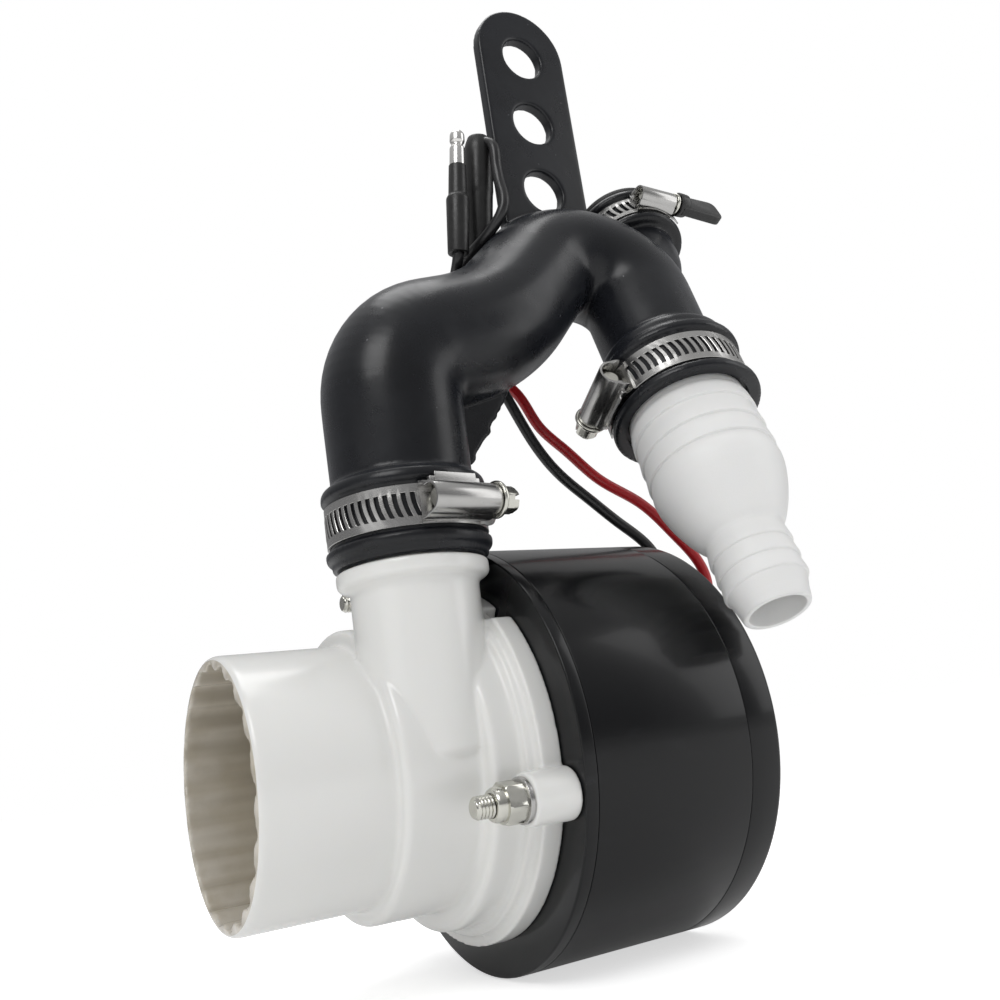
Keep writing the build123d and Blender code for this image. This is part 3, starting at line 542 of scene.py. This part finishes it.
SLOT_MATERIALS = {
    "white_plastic": WHITE, "adapter_plastic": ADAPTER, "cover_plastic": GLOSS, "hose_rubber": RUBBER,
    "soft_rubber": SOFT, "black_plastic": BLACK, "stainless": STAINLESS, "bright_steel": BRIGHT,
    "red_insulation": RED, "black_insulation": DARK_LEAD, "tinned_brass": TIN, "copper": COPPER,
    "brass": BRASS, "cast_alloy": ALLOY, "can_steel": PAINT, "ferrite": FERRITE,
    "lamination": LAMINATION, "impeller_plastic": IMPELLER, "card_plastic": CARD, "carbon": CARBON,
}


def finish_piece(obj, slot, body, *stands_for, material=None, degrees=35):
    """Material (from its slot unless one is given), shading and body for one finished piece."""
    obj.data.materials.clear()
    obj.data.materials.append(material or SLOT_MATERIALS[slot])
    smooth_shade(obj, degrees)
    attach(obj, body)
    if stands_for:
        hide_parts(*stands_for)
    return obj


# ---------------------------------------------------------------- wet end housing
def stud_points():
    return [on_circle(STUD_CIRCLE_R, a) for a in STUD_ANGLES]


def flange_outline():
    """Flange edge in local X and Y, with the stepped relief beside the neck."""
    full_r, lobe_r, notch_r, flat_z = 53.4, 51.3, 46.0, 37.5
    outline = []
    for k in range(720):
        y, z = on_circle(1.0, k / 2)
        r = full_r
        if z > 0 and -32.0 <= y * full_r <= -8.0:
            r = lobe_r
        elif z > 0 and -41.0 <= y * full_r < -32.0:
            r = max(notch_r, min(full_r, flat_z / z))
        outline.append((y * r, z * r))
    return outline


def fluted_outline():
    """Socket bore with shallow flutes and narrow ridges between them."""
    outline = []
    for k in range(FLUTES * 24):
        a = 2 * math.pi * k / (FLUTES * 24)
        ridge = abs(math.cos(FLUTES * a / 2)) ** 2.5
        r = MOUTH_BORE_R - FLUTE_DEPTH * ridge
        outline.append((r * math.cos(a), r * math.sin(a)))
    return outline


def pump_housing():
    steps = [(0.0, INLET_R, 2.2), (37.2, INLET_R, 1.2), (37.2, 41.6, 2.6), (59.8, 41.6, 1.6),
             (59.8, 47.6, 2.2), (68.6, 47.6, 0.8), (68.6, 50.2, 0.8), (74.0, 50.2)]
    body = lathe("pump_housing_mesh", rounded([(0, 30)] + steps, 1.5), ALONG_PUMP, 180)
    flange = prism("flange", flange_outline(), 71.0, 77.5, ALONG_PUMP)
    neck_profile = [(-4, 6), (-2, 14), (2, 18.6), (49.4, 18.6, 1.6), (50.6, 22.1, 1.6), (55.0, 22.1, 0.8),
                    (55.0, 18.2, 0.2), (79.5, 18.2, 0.6), (79.5, 16)]
    neck = lathe("neck", rounded(neck_profile, 3.0), NECK_BASE, 128)
    boolean(body, flange, "UNION")
    boolean(body, neck, "UNION")
    for y, z in stud_points():
        spot = place((0, y, z), PUMP_AXIS, (0, 1, 0))
        boss = lathe("boss", rounded([(63.7, 5), (63.7, 7.0), (77.4, 7.2), (77.4, 5)], 0.6), spot, 64)
        boolean(body, boss, "UNION")
    bore = prism("bore", fluted_outline(), -1.0, SOCKET_DEPTH, ALONG_PUMP)
    boolean(body, bore, "DIFFERENCE")
    hollow = [(33.0, 20.0), (38.5, 20.0), (38.5, 36.0), (66.0, 36.0), (66.0, 44.1), (79.0, 44.1)]
    boolean(body, lathe("hollow", hollow, ALONG_PUMP, 128), "DIFFERENCE")
    boolean(body, lathe("neck_bore", [(8, 14.5), (82, 14.5)], NECK_BASE, 96), "DIFFERENCE")
    for y, z in stud_points():
        spot = place((0, y, z), PUMP_AXIS, (0, 1, 0))
        boolean(body, lathe("hole", [(60, 3.2), (80, 3.2)], spot, 48), "DIFFERENCE")
    remesh(body, 0.56, 4, 0.6)
    finish_piece(body, "white_plastic", "pump", "pump_housing", degrees=180)


# ---------------------------------------------------------------- motor cover
def cover():
    ring = [(RING_X0, 40.2), (RING_X0, COVER_R, 0.7), (RING_X1 - 0.12, COVER_R, 0.35), (RING_X1 - 0.12, 40.2)]
    sleeve = [(SLEEVE_X0, COVER_BORE_R), (SLEEVE_X0, COVER_R, 0.3), (SLEEVE_X1 - 0.1, COVER_R, 0.3),
              (SLEEVE_X1 - 0.1, COVER_BORE_R)]
    cap = [(SLEEVE_X1, COVER_BORE_R), (SLEEVE_X1, COVER_R, 0.3), (CAP_X1, COVER_R, 1.5), (CAP_X1, 0.1),
           (CAP_X1 - 3.5, 0.1), (CAP_X1 - 3.5, 58.7), (131.0, 58.7), (131.0, 60.6), (SLEEVE_X1, 60.6)]
    for name, outline in (("cover_front_ring", ring), ("cover_sleeve", sleeve), ("cover_rear_cap", cap)):
        obj = lathe(name + "_mesh", rounded(outline, 0.05, closed=True), ALONG_PUMP, 256, closed=True)
        finish_piece(obj, "cover_plastic", "pump", name, degrees=50)


# ---------------------------------------------------------------- fasteners
def threaded_rod(name, r, z0, z1, pitch, matrix, sides=40):
    """Rod along local Z with a rolled thread cut as a helix."""
    depth = pitch * 0.55
    per_pitch = 8
    rows = int((z1 - z0) / pitch * per_pitch)
    vertices, faces = [], []
    for i in range(rows + 1):
        z = z0 + (z1 - z0) * i / rows
        end = min(1.0, (z - z0) / (pitch * 0.8), (z1 - z) / (pitch * 0.8))
        for k in range(sides):
            a = 2 * math.pi * k / sides
            phase = (z / pitch - k / sides) % 1.0
            groove = 1 - abs(2 * phase - 1)
            rr = r - depth * groove * 0.5 - (1 - end) * 0.7
            vertices.append((rr * math.cos(a), rr * math.sin(a), z))
    for i in range(rows):
        for k in range(sides):
            n = (k + 1) % sides
            faces.append((i * sides + k, i * sides + n, (i + 1) * sides + n, (i + 1) * sides + k))
    faces.append(tuple(reversed(range(sides))))
    faces.append(tuple(range(rows * sides, (rows + 1) * sides)))
    return make_object(name, vertices, faces, matrix)


def hex_nut(name, flats, z0, z1, bore, matrix, turn=0.0):
    """Hexagon with chamfered corners and a round bore."""
    corner = flats / math.sqrt(3)
    sides = 96
    rings = ((z0, 0.0), (z0, -0.45), (z0 + 0.55, 0.35), (z1 - 0.55, 0.35), (z1, -0.45), (z1, 0.0))
    vertices, faces = [], []
    for j, (z, extra) in enumerate(rings):
        for k in range(sides):
            a = 2 * math.pi * k / sides
            b = (a - turn) % (math.pi / 3) - math.pi / 6
            flat = flats / 2 / math.cos(b)
            chamfer = flats / 2 + (corner - flats / 2) * (0.5 + extra) + 0.15
            r = bore if j in (0, len(rings) - 1) else min(flat, chamfer)
            vertices.append((r * math.cos(a), r * math.sin(a), z))
    rows = len(rings)
    for i in range(rows):
        for k in range(sides):
            n = (k + 1) % sides
            j = (i + 1) % rows
            faces.append((i * sides + k, i * sides + n, j * sides + n, j * sides + k))
    return make_object(name, vertices, faces, matrix)


def stud_set():
    tip, washer_x, nut_x = x_span("stud_bolts")[0], x_span("stud_washers"), x_span("lock_nuts")
    studs, washers, nuts = [], [], []
    for i, (y, z) in enumerate(stud_points()):
        spot = place((0, y, z), PUMP_AXIS, (0, 1, 0))
        thread = threaded_rod("thread", 3.0, tip, RING_X1, 1.0, spot)
        button = [(RING_X1 - 0.3, 2.5), (RING_X1 - 0.3, 5), (RING_X1 + 4, 5), (RING_X1 + 4, 2)]
        head = lathe("head", rounded(button, 0.8), spot, 48)
        studs += [thread, head]
        plate = [(washer_x[0], 3.1), (washer_x[0], 6.05, 0.35), (washer_x[1], 6.05, 0.35), (washer_x[1], 3.1)]
        washers.append(lathe("washer", rounded(plate, 0.1, closed=True), spot, 64, closed=True))
        turn = math.radians(11 + 40 * i)
        hexagon = hex_nut("hexagon", 10.0, nut_x[1] - 5.6, nut_x[1] - 0.05, 3.05, spot, turn)
        collar = [(nut_x[0], 3.05), (nut_x[0], 3.9, 0.4), (nut_x[0] + 1.0, 4.5, 0.6), (nut_x[1] - 5.4, 4.6),
                  (nut_x[1] - 5.4, 3.05)]
        nuts += [hexagon, lathe("collar", rounded(collar, 0.2, closed=True), spot, 64, closed=True)]
    finish_piece(join("stud_bolts_mesh", studs), "bright_steel", "pump", "stud_bolts")
    finish_piece(join("stud_washers_mesh", washers), "stainless", "pump", "stud_washers")
    finish_piece(join("lock_nuts_mesh", nuts), "bright_steel", "pump", "lock_nuts")


# ---------------------------------------------------------------- hose
def hose_path():
    end = OUTLET - OUTLET_DIR * (CUFF_LEN - 6)
    return bent_path(HOSE_CORNERS + (tuple(end),), HOSE_BENDS)


def cuff_profile(length, seat, bead, bead_t):
    lip = bead_t
    return [(0, seat - 3), (0, bead - 0.3, 1.4), (lip, bead, 1.5), (lip + 0.3, seat, 0.5),
            (length - lip - 0.3, seat, 0.5), (length - lip, bead, 1.5), (length, bead - 0.3, 1.4),
            (length + 2.4, seat - 3.5)]


def strap_object():
    """Moulded strap with three round holes and rounded edges."""
    half_w, half_t, edge = 18.2, 2.5, 0.7
    x, y = STRAP_LOW.x, STRAP_LOW.y
    holes = [STRAP_LOW.z + STRAP_PITCH * (k - 0.5) for k in range(3)]
    top = holes[-1] + 20.0 - half_w
    curve = bpy.data.curves.new("strap", "CURVE")
    curve.dimensions = "2D"
    curve.fill_mode = "BOTH"
    arc = [on_circle(half_w - edge, a) for a in np.linspace(0, 180, 25)]
    outline = [(half_w - edge, 160.0)] + [(u, top + v) for u, v in arc] + [(edge - half_w, 160.0)]
    circle = [on_circle(STRAP_HOLE_R + edge, a) for a in range(0, 360, 8)]
    loops = [outline] + [[(u, z + v) for u, v in circle] for z in holes]
    for loop in loops:
        spline = curve.splines.new("POLY")
        spline.points.add(len(loop) - 1)
        spline.use_cyclic_u = True
        for point, (u, v) in zip(spline.points, loop):
            point.co = (u * MM, v * MM, 0, 1)
    curve.extrude = (half_t - edge) * MM
    curve.bevel_depth = edge * MM
    curve.bevel_resolution = 2
    obj = bpy.data.objects.new("strap", curve)
    bpy.context.scene.collection.objects.link(obj)
    obj.matrix_world = place(Vector((x, y, 0)) * MM, (0, -1, 0), (1, 0, 0))
    bpy.context.view_layer.update()
    mesh = bpy.data.meshes.new_from_object(obj.evaluated_get(bpy.context.evaluated_depsgraph_get()))
    mesh.transform(obj.matrix_world)
    bpy.data.objects.remove(obj)
    made = bpy.data.objects.new("strap", mesh)
    bpy.context.scene.collection.objects.link(made)
    return made


def web_object():
    """Gusset in the first bend, with the torn edge left by the moulder's knife."""
    rng = random.Random(7)
    edge = [(79 + 16 * t, 87 + 23 * t) for t in np.linspace(0, 1, 24)]
    ragged = [(x + rng.uniform(-0.7, 0.7), z + rng.uniform(-0.3, 0.3)) for x, z in edge]
    outline = [(62, 82)] + ragged + [(104, 132), (66, 130)]
    return prism("web", outline, -1.5, 1.5, place((0, NECK_AT.y, 0), (0, -1, 0), (1, 0, 0)))


def branch_parts():
    root, knee = Vector((151.0, -27.0, 151.0)), Vector((166.5, -20.5, 164.0))
    foot = BRANCH + BRANCH_DIR * -7
    elbow = bent_path((root, knee, foot + BRANCH_DIR * 2), (13.0,))
    radii = [14.6] * len(elbow)
    cuff = cuff_profile(17.0, BRANCH_SEAT_R, 19.2, 3.0)
    at = place(BRANCH - BRANCH_DIR * 9, BRANCH_DIR)
    return [tube("elbow", elbow, radii), lathe("branch_cuff", rounded(cuff, 1.0), at, 128)]


def discharge_hose():
    path = hose_path()
    share = np.linspace(0, 1, len(path))
    radii = np.interp(share, np.linspace(0, 1, len(HOSE_RADII)), HOSE_RADII)
    run = tube("discharge_hose_mesh", path, radii, 96)
    lower = [(55.8, 20), (55.8, 22.7, 0.5), (CUFF_BASE_Z - 0.3, 22.7, 0.3)]
    lower += [(CUFF_BASE_Z + h, r, *rest) for h, r, *rest in cuff_profile(CUFF_LEN, CUFF_R, CUFF_BEAD_R, 3.2)]
    parts = [run, lathe("lower", rounded(lower, 1.0), NECK_BASE, 128)]
    upper = [(0, 20), (0, 25.1, 0.6), (3.0, 25.2, 0.9), (3.3, CUFF_R, 0.5), (CUFF_LEN - 3.6, CUFF_R, 0.5),
             (CUFF_LEN - 3.3, 24.8, 1.1), (CUFF_LEN, 24.7, 1.1), (CUFF_LEN + 0.5, 22.8, 0.5),
             (CUFF_LEN + 4.8, 22.4, 1.4), (CUFF_LEN + 7.5, 19.0)]
    upper_place = place(OUTLET, -OUTLET_DIR)
    parts.append(lathe("upper", rounded(upper, 1.0), upper_place, 128))
    parts += [strap_object(), web_object()] + branch_parts()
    body = join("discharge_hose_mesh", parts)
    remesh(body, 0.62, 3, 0.6)
    bore = tube("bore", path, [16.0] * len(path), 48)
    boolean(body, bore, "DIFFERENCE")
    mouth = [(-1, 21.0), (2.2, 21.0), (2.2, 18.3), (20, 18.3)]
    boolean(body, lathe("mouth", mouth, upper_place, 96), "DIFFERENCE")
    boolean(body, lathe("foot", [(55, 18.3), (80.3, 18.3)], NECK_BASE, 96), "DIFFERENCE")
    finish_piece(body, "hose_rubber", "pump", "discharge_hose", degrees=60)


# ---------------------------------------------------------------- worm clamps
def slotted_band(name, seat, width, slot_from, slot_to, matrix):
    """Band about local Z. Curved slots cross it between two angles, measured from -Y towards -X."""
    r = seat + 0.03
    pitch, cells = 2.45, 6
    count = int(2 * math.pi * r / pitch) * cells
    slot_half = width * 0.29
    heights = [-width / 2] + [slot_half * t for t in (-1, -0.8, -0.4, 0, 0.4, 0.8, 1)] + [width / 2]
    vertices, faces = [], []
    for i in range(count):
        for h in heights:
            slant = (0.30 * h / slot_half - 0.16 * (h / slot_half) ** 2) * pitch / r
            a = -math.pi / 2 - 2 * math.pi * i / count - slant
            crown = 0.10 if abs(h) < slot_half else 0.0
            vertices.append(((r + crown) * math.cos(a), (r + crown) * math.sin(a), h))
    rows = len(heights)
    for i in range(count):
        angle = 360 * i / count
        slotted = slot_from <= angle <= slot_to and i % cells in (1, 2, 3)
        for j in range(rows - 1):
            if slotted and 1 <= j <= rows - 3:
                continue
            n = (i + 1) % count
            faces.append((i * rows + j, i * rows + j + 1, n * rows + j + 1, n * rows + j))
    obj = make_object(name, vertices, faces, matrix)
    m = obj.modifiers.new("thickness", "SOLIDIFY")
    m.thickness = BAND_T * MM
    m.offset = 1.0
    bake(obj)
    return bevel(obj, 0.12, 1, 50)


def band_tail(seat, width, matrix):
    """Free end of the band that leaves the housing on the screw's side and curls clear."""
    steps = 24
    vertices, faces = [], []
    for i in range(steps + 1):
        t = i / steps
        a = math.radians(-112 + 66 * t)
        r = seat + 0.9 + 2.2 * t ** 2
        narrow = 0.5 - 0.22 * max(0.0, (t - 0.8) / 0.2) ** 2
        for h in (-narrow, 0.0, narrow):
            vertices.append((r * math.cos(a), r * math.sin(a), h * width))
    for i in range(steps):
        for j in range(2):
            faces.append((i * 3 + j, i * 3 + j + 1, i * 3 + j + 4, i * 3 + j + 3))
    obj = make_object("tail", vertices, faces, matrix)
    m = obj.modifiers.new("thickness", "SOLIDIFY")
    m.thickness = 0.6 * MM
    m.offset = 0.0
    return bake(obj)


def worm_housing(name, seat, scale, matrix):
    """Pressed sheet arch over the screw, with feet that clasp the band."""
    base = seat + BAND_T + 0.1
    top = base + HOUSING_H * scale
    centre = base + 4.1 * scale
    arch_r = 4.6 * scale
    wall = 0.8 * scale
    half_w, half_l = 5.3 * scale, HOUSING_HALF_LEN * scale
    foot = base + 0.2

    def arch(r, drop):
        points = [on_circle(r, a) for a in np.linspace(-8, 188, 29)]
        side = [(half_w - drop, foot + drop * 0.2), (half_w - drop, base + 1.6 * scale),
                (r + 0.5 * scale - drop, base + 2.6 * scale)]
        curve = [(u, centre + v) for u, v in points if v > -0.5 * scale]
        return side + curve + [(-u, v) for u, v in reversed(side)]

    outer = arch(arch_r, 0.0)
    inner = [(u, min(v, top - wall)) for u, v in arch(arch_r - wall, wall * 0.9)]
    outline = rounded(outer, 0.5) + list(reversed(rounded(inner, 0.4)))
    frame_m = matrix @ Matrix(((0, 0, 1, 0), (0, -1, 0, 0), (1, 0, 0, 0), (0, 0, 0, 1)))
    shell = prism(name, outline, -half_l, half_l, frame_m)
    bevel(shell, 0.16 * scale, 2, 50)
    tabs = []
    bridge = rounded([(-8.5, -0.3), (8.5, -0.3), (8.5, 1.5), (-8.5, 1.5)], 0.4, closed=True)
    outline = [(u * scale, -(base + 1.0 * scale) - v * scale) for u, v in bridge]
    tabs.append(bevel(prism("bridge", outline, 5.0 * scale, 6.6 * scale, matrix), 0.25 * scale, 2))
    inset = [(u * scale * 0.82, -(base + 2.3 * scale) - v * scale * 0.35) for u, v in bridge]
    tabs.append(bevel(prism("strip", inset, 4.8 * scale, 7.8 * scale, matrix), 0.2 * scale, 2))
    saddle = []
    for i in range(17):
        a = math.radians(-90 + (i - 8) * 3.0)
        saddle.append((base * math.cos(a), base * math.sin(a)))
    for i in range(16, -1, -1):
        a = math.radians(-90 + (i - 8) * 3.0)
        saddle.append(((base + 0.9) * math.cos(a), (base + 0.9) * math.sin(a)))
    tabs.append(prism("saddle", saddle, -6.0 * scale, 6.0 * scale, matrix))
    return join(name, [shell] + tabs)


def screw_height(seat, scale):
    """Local Y of a clamp screw's axis."""
    return -(seat + FIT_GAP + BAND_T + FIT_GAP) - HOUSING_H * scale / 2 + 0.2


def worm_screw(name, seat, scale, matrix):
    """Screw along local X: worm thread, collar, and a slotted hexagon head."""
    mid = screw_height(seat, scale)
    turned = matrix @ place((0, mid, 0), (1, 0, 0), (0, 0, 1))
    worm = threaded_rod("worm", 3.4 * scale, -8.6 * scale, 10.9 * scale, 2.2 * scale, turned, 48)
    collar_x = HOUSING_HALF_LEN * scale + 0.3
    rim = 5.4 * scale
    head_x = collar_x + COLLAR_T
    flange = [(collar_x, 2), (collar_x, rim, 0.5), (head_x, rim, 0.5), (head_x, 2)]
    collar = lathe("collar", rounded(flange, 0.2), turned, 72)
    head = hex_nut("head", 7.0 * scale, head_x - 0.1, head_x + HEAD_LEN * scale, 0.02, turned, math.radians(20))
    slot = prism("slot", [(-0.7 * scale, -8), (0.7 * scale, -8), (0.7 * scale, 8), (-0.7 * scale, 8)],
                 head_x + 3.4 * scale, head_x + 7 * scale, turned)
    boolean(head, slot, "DIFFERENCE")
    return join(name, [worm, collar, head])


def clamp(prefix, seat, width, scale, axis, joint, body, slots):
    centre = centre_of(prefix + "_clamp_band")
    local = place(centre, axis, joints[joint]["axis"])
    band = slotted_band(prefix + "_clamp_band_mesh", seat, width, *slots, local)
    band = join(prefix + "_clamp_band_mesh", [band, band_tail(seat, width, local)])
    finish_piece(band, "stainless", "pump", prefix + "_clamp_band")
    housing = worm_housing(prefix + "_clamp_housing_mesh", seat, scale, local)
    finish_piece(housing, "stainless", "pump", prefix + "_clamp_housing")
    screw = worm_screw(prefix + "_clamp_screw_mesh", seat, scale, local)
    finish_piece(screw, "bright_steel", body, prefix + "_clamp_screw")
    return local


def thumb_key(local, seat, scale):
    """Flat finger key on the branch clamp's screw, with a round sleeve."""
    mid = screw_height(seat, scale)
    start = HOUSING_HALF_LEN * scale + 0.3 + COLLAR_T + HEAD_LEN * scale - 2
    spot = local @ place((0, mid, 0), (0, 1, 0), (1, 0, 0))
    outline = [(start, -4.4, 0.6), (start + 19, -5.3, 3.6), (start + 19, 5.3, 3.6), (start, 4.4, 0.6)]
    outline = rounded(outline, 1.0, 8, closed=True)
    blade = bevel(prism("blade", outline, -1.7, 1.7, spot), 0.6, 3)
    round_place = local @ place((0, mid, 0), (1, 0, 0), (0, 0, 1))
    socket = [(start - 1.2, 2.6), (start - 1.2, 4.4, 0.5), (start + 3.3, 4.2, 1.0), (start + 3.3, 1.0)]
    sleeve = lathe("sleeve", rounded(socket, 0.3), round_place, 64)
    finish_piece(join("thumb_key_mesh", [blade, sleeve]), "black_plastic", "branch_screw", "thumb_key")


# ---------------------------------------------------------------- adapter, plug, connectors
def hose_adapter():
    barbs = [(-19, 17.6), (-2, 18.2), (-2, 19.6), (1.0, 19.8, 0.3)]
    for base, top in ((7.0, 20.9), (14.6, 21.0), (22.0, 21.2)):
        barbs += [(base - 4.5, top - 0.5, 2.0), (base, top, 0.25), (base + 0.25, top - 0.9, 0.25)]
    barbs += [(26.0, 21.2, 3.0), (30.0, 20.8, 3.0), (36.0, 19.1, 4.0), (42.0, 16.5, 3.0), (46.2, 14.0, 2.0),
              (47.8, 12.5, 0.8), (49.0, 12.3, 0.4)]
    for base in (54.5, 60.2, 65.9):
        barbs += [(base - 0.7, 13.0, 0.3), (base, 12.9, 0.25), (base + 0.2, 12.3, 0.25)]
    barbs += [(70.0, 11.1, 0.5), (74.0, 10.3, 0.6)]
    inner = [(74.0, 8.6, 0.5), (54.0, 8.4), (40.0, 14.0), (-19, 15.2)]
    place_at = place(OUTLET, OUTLET_DIR)
    obj = lathe("hose_adapter_mesh", rounded(barbs + inner, 0.3, 5, closed=True), place_at, 160, closed=True)
    finish_piece(obj, "adapter_plastic", "pump", "hose_adapter", degrees=40)


def branch_plug():
    top = 8.0
    outline = [(-6, 10), (-6, 12.5), (top, 12.5, 0.2), (top, 18.4, 0.6), (top + 2.5, 18.4, 1.2),
               (top + 2.5, 13.0, 0.8), (top + 1.4, 12.0, 0.8), (top + 1.4, 0.1)]
    obj = lathe("branch_plug_mesh", rounded(outline, 0.2), place(BRANCH, BRANCH_DIR), 128)
    finish_piece(obj, "soft_rubber", "pump", "branch_plug", degrees=50)


def ends_of(node):
    """Ends of a slim upright CAD node's axis, from its lowest and highest rings of vertices."""
    points = np.array([tuple(v.co) for v in frame["nodes"][node].data.vertices]) / MM
    centre = points.mean(0)
    axis = np.linalg.svd(points - centre, full_matrices=False)[2][0]
    axis = axis * (1 if axis[2] > 0 else -1)
    along = (points - centre) @ axis
    low, high = points[along < along.min() + 0.5].mean(0), points[along > along.max() - 0.5].mean(0)
    return Vector(low), Vector(high)


def connectors():
    low, high = ends_of("male_sleeve")
    up = (high - low).normalized()
    length = (high - low).length
    local = place(low, up)
    shell = [(0, 2.0), (0, 3.6, 0.5), (length * 0.62, 4.0, 0.6), (length * 0.66, 3.2, 0.5),
             (length, 3.0, 0.3), (length, 2.4), (length * 0.5, 2.4)]
    sleeve = lathe("male_sleeve_mesh", rounded(shell, 0.3, closed=True), local, 64, closed=True)
    finish_piece(sleeve, "black_plastic", "pump", "male_sleeve")
    pin = [(-6, 2.35), (-0.5, 2.35), (-0.3, 2.7, 0.3), (6.6, 2.6, 0.5), (7.4, 2.0, 0.5), (8.2, 2.0, 0.5),
           (9.0, 2.6, 0.8), (11.8, 2.5, 1.2), (13, 1.4, 0.5)]
    pin = [(length + h, *rest) for h, *rest in pin]
    finish_piece(lathe("bullet_pin_mesh", rounded(pin, 0.3), local, 64), "tinned_brass", "pump", "bullet_pin")
    low, high = ends_of("female_sleeve")
    length = (high - low).length
    top = length + 9.0
    shell = [(-8.5, 2.6), (-8.5, 4.4, 0.6), (length * 0.5, 4.9, 1.0), (length * 0.56, 5.1, 0.6),
             (top - 4.0, 5.0, 2.0), (top, 3.6, 2.0), (top, 2.0, 0.3), (length - 12, 2.6)]
    local = place(low, high - low)
    sleeve = lathe("female_sleeve_mesh", rounded(shell, 0.3, closed=True), local, 64, closed=True)
    finish_piece(sleeve, "black_plastic", "pump", "female_sleeve")


# ---------------------------------------------------------------- carried-over CAD nodes
def dress_cad_nodes():
    slots = {s["node"]: s["material_slot"] for s in record["subparts"]}
    for node, obj in frame["nodes"].items():
        obj.data.materials.clear()
        obj.data.materials.append(SLOT_MATERIALS[slots[node]])
        smooth_shade(obj, 30)


# ---------------------------------------------------------------- build
pump_housing()
cover()
stud_set()
discharge_hose()
clamp("lower", CUFF_R, 11.6, 1.0, UP, "lower_clamp_screw_turn", "lower_screw", (22, 150))
clamp("upper", CUFF_R, 11.6, 1.0, OUTLET_DIR, "upper_clamp_screw_turn", "upper_screw", (22, 150))
key_at = clamp("branch", BRANCH_SEAT_R, 8.2, 0.72, BRANCH_DIR, "branch_key_turn", "branch_screw", (22, 170))
thumb_key(key_at, BRANCH_SEAT_R, 0.72)
hose_adapter()
branch_plug()
connectors()
dress_cad_nodes()


# ---------------------------------------------------------------- floor, light and camera
def floor():
    z = cad_box[0].z - 0.0004
    mesh = bpy.data.meshes.new("floor")
    mesh.from_pydata([(-60, -60, z), (60, -60, z), (60, 60, z), (-60, 60, z)], [], [(0, 1, 2, 3)])
    obj = bpy.data.objects.new("floor", mesh)
    bpy.context.scene.collection.objects.link(obj)
    m = Nodes("pale_floor")
    m.set(Base_Color=m.mix(m.noise(3, 2), (0.90, 0.90, 0.90, 1), (0.92, 0.92, 0.92, 1)), Roughness=0.9)
    seen = m.add("ShaderNodeLightPath").outputs["Is Camera Ray"]
    m.set(Emission_Color=(1, 1, 1, 1), Emission_Strength=m.ramp(seen, 0.0, 1.0, 0.12, 0.62))
    mesh.materials.append(m.material)


def world():
    scene_world = bpy.data.worlds.new("studio")
    scene_world.use_nodes = True
    bpy.context.scene.world = scene_world
    tree = scene_world.node_tree
    tree.nodes.clear()
    out = tree.nodes.new("ShaderNodeOutputWorld")
    path = tree.nodes.new("ShaderNodeLightPath")
    seen, lit = tree.nodes.new("ShaderNodeBackground"), tree.nodes.new("ShaderNodeBackground")
    seen.inputs["Color"].default_value = (1, 1, 1, 1)
    seen.inputs["Strength"].default_value = 1.0
    lit.inputs["Strength"].default_value = 0.56
    coord = tree.nodes.new("ShaderNodeTexCoord")
    split = tree.nodes.new("ShaderNodeSeparateXYZ")
    tree.links.new(coord.outputs["Generated"], split.inputs["Vector"])
    ramp = tree.nodes.new("ShaderNodeValToRGB")
    ramp.color_ramp.elements[0].position = 0.30
    ramp.color_ramp.elements[0].color = (0.55, 0.55, 0.56, 1)
    ramp.color_ramp.elements[1].position = 0.95
    ramp.color_ramp.elements[1].color = (1, 1, 1, 1)
    middle = ramp.color_ramp.elements.new(0.55)
    middle.color = (0.42, 0.42, 0.43, 1)
    shift = tree.nodes.new("ShaderNodeMapRange")
    shift.inputs["From Min"].default_value = -1.0
    tree.links.new(split.outputs["Z"], shift.inputs["Value"])
    tree.links.new(shift.outputs["Result"], ramp.inputs["Fac"])
    tree.links.new(ramp.outputs["Color"], lit.inputs["Color"])
    mix = tree.nodes.new("ShaderNodeMixShader")
    tree.links.new(path.outputs["Is Camera Ray"], mix.inputs["Fac"])
    tree.links.new(lit.outputs["Background"], mix.inputs[1])
    tree.links.new(seen.outputs["Background"], mix.inputs[2])
    tree.links.new(mix.outputs["Shader"], out.inputs["Surface"])


def area_light(name, at, target, size, power, size_y=None):
    data = bpy.data.lights.new(name, "AREA")
    data.shape = "RECTANGLE"
    data.size = size
    data.size_y = size_y or size
    data.energy = power
    obj = bpy.data.objects.new(name, data)
    bpy.context.scene.collection.objects.link(obj)
    obj.location = at
    obj.rotation_euler = (Vector(target) - Vector(at)).to_track_quat("-Z", "Y").to_euler()
    obj.visible_camera = False


def camera():
    """Camera at the left of the inlet, a little below the pump axis, looking up and rolled."""
    right, up = Vector((0.8594, -0.4922, -0.1387)), Vector((0.0015, -0.2688, 0.9632))
    ahead = Vector((0.5114, 0.8279, 0.2303))
    data = bpy.data.cameras.new("camera")
    data.lens = 37.5
    data.clip_start = 0.01
    data.clip_end = 200
    obj = bpy.data.objects.new("camera", data)
    bpy.context.scene.collection.objects.link(obj)
    m = Matrix((right, up, -ahead)).transposed().to_4x4()
    m.translation = Vector((-77.9, -292.4, 1.2)) * MM
    obj.matrix_world = m
    bpy.context.scene.camera = obj


floor()
world()
centre = (cad_box[0] + cad_box[1]) / 2
area_light("key", (-0.55, -0.55, 0.75), centre, 0.5, 3.6)
area_light("fill", (-0.75, -0.25, 0.05), centre, 0.5, 0.5)
area_light("top", (0.15, 0.10, 0.95), centre, 0.5, 2.4)
area_light("side", (0.75, -0.45, 0.35), centre, 0.35, 1.2, 0.7)
camera()
bpy.context.scene.view_settings.view_transform = "Standard"
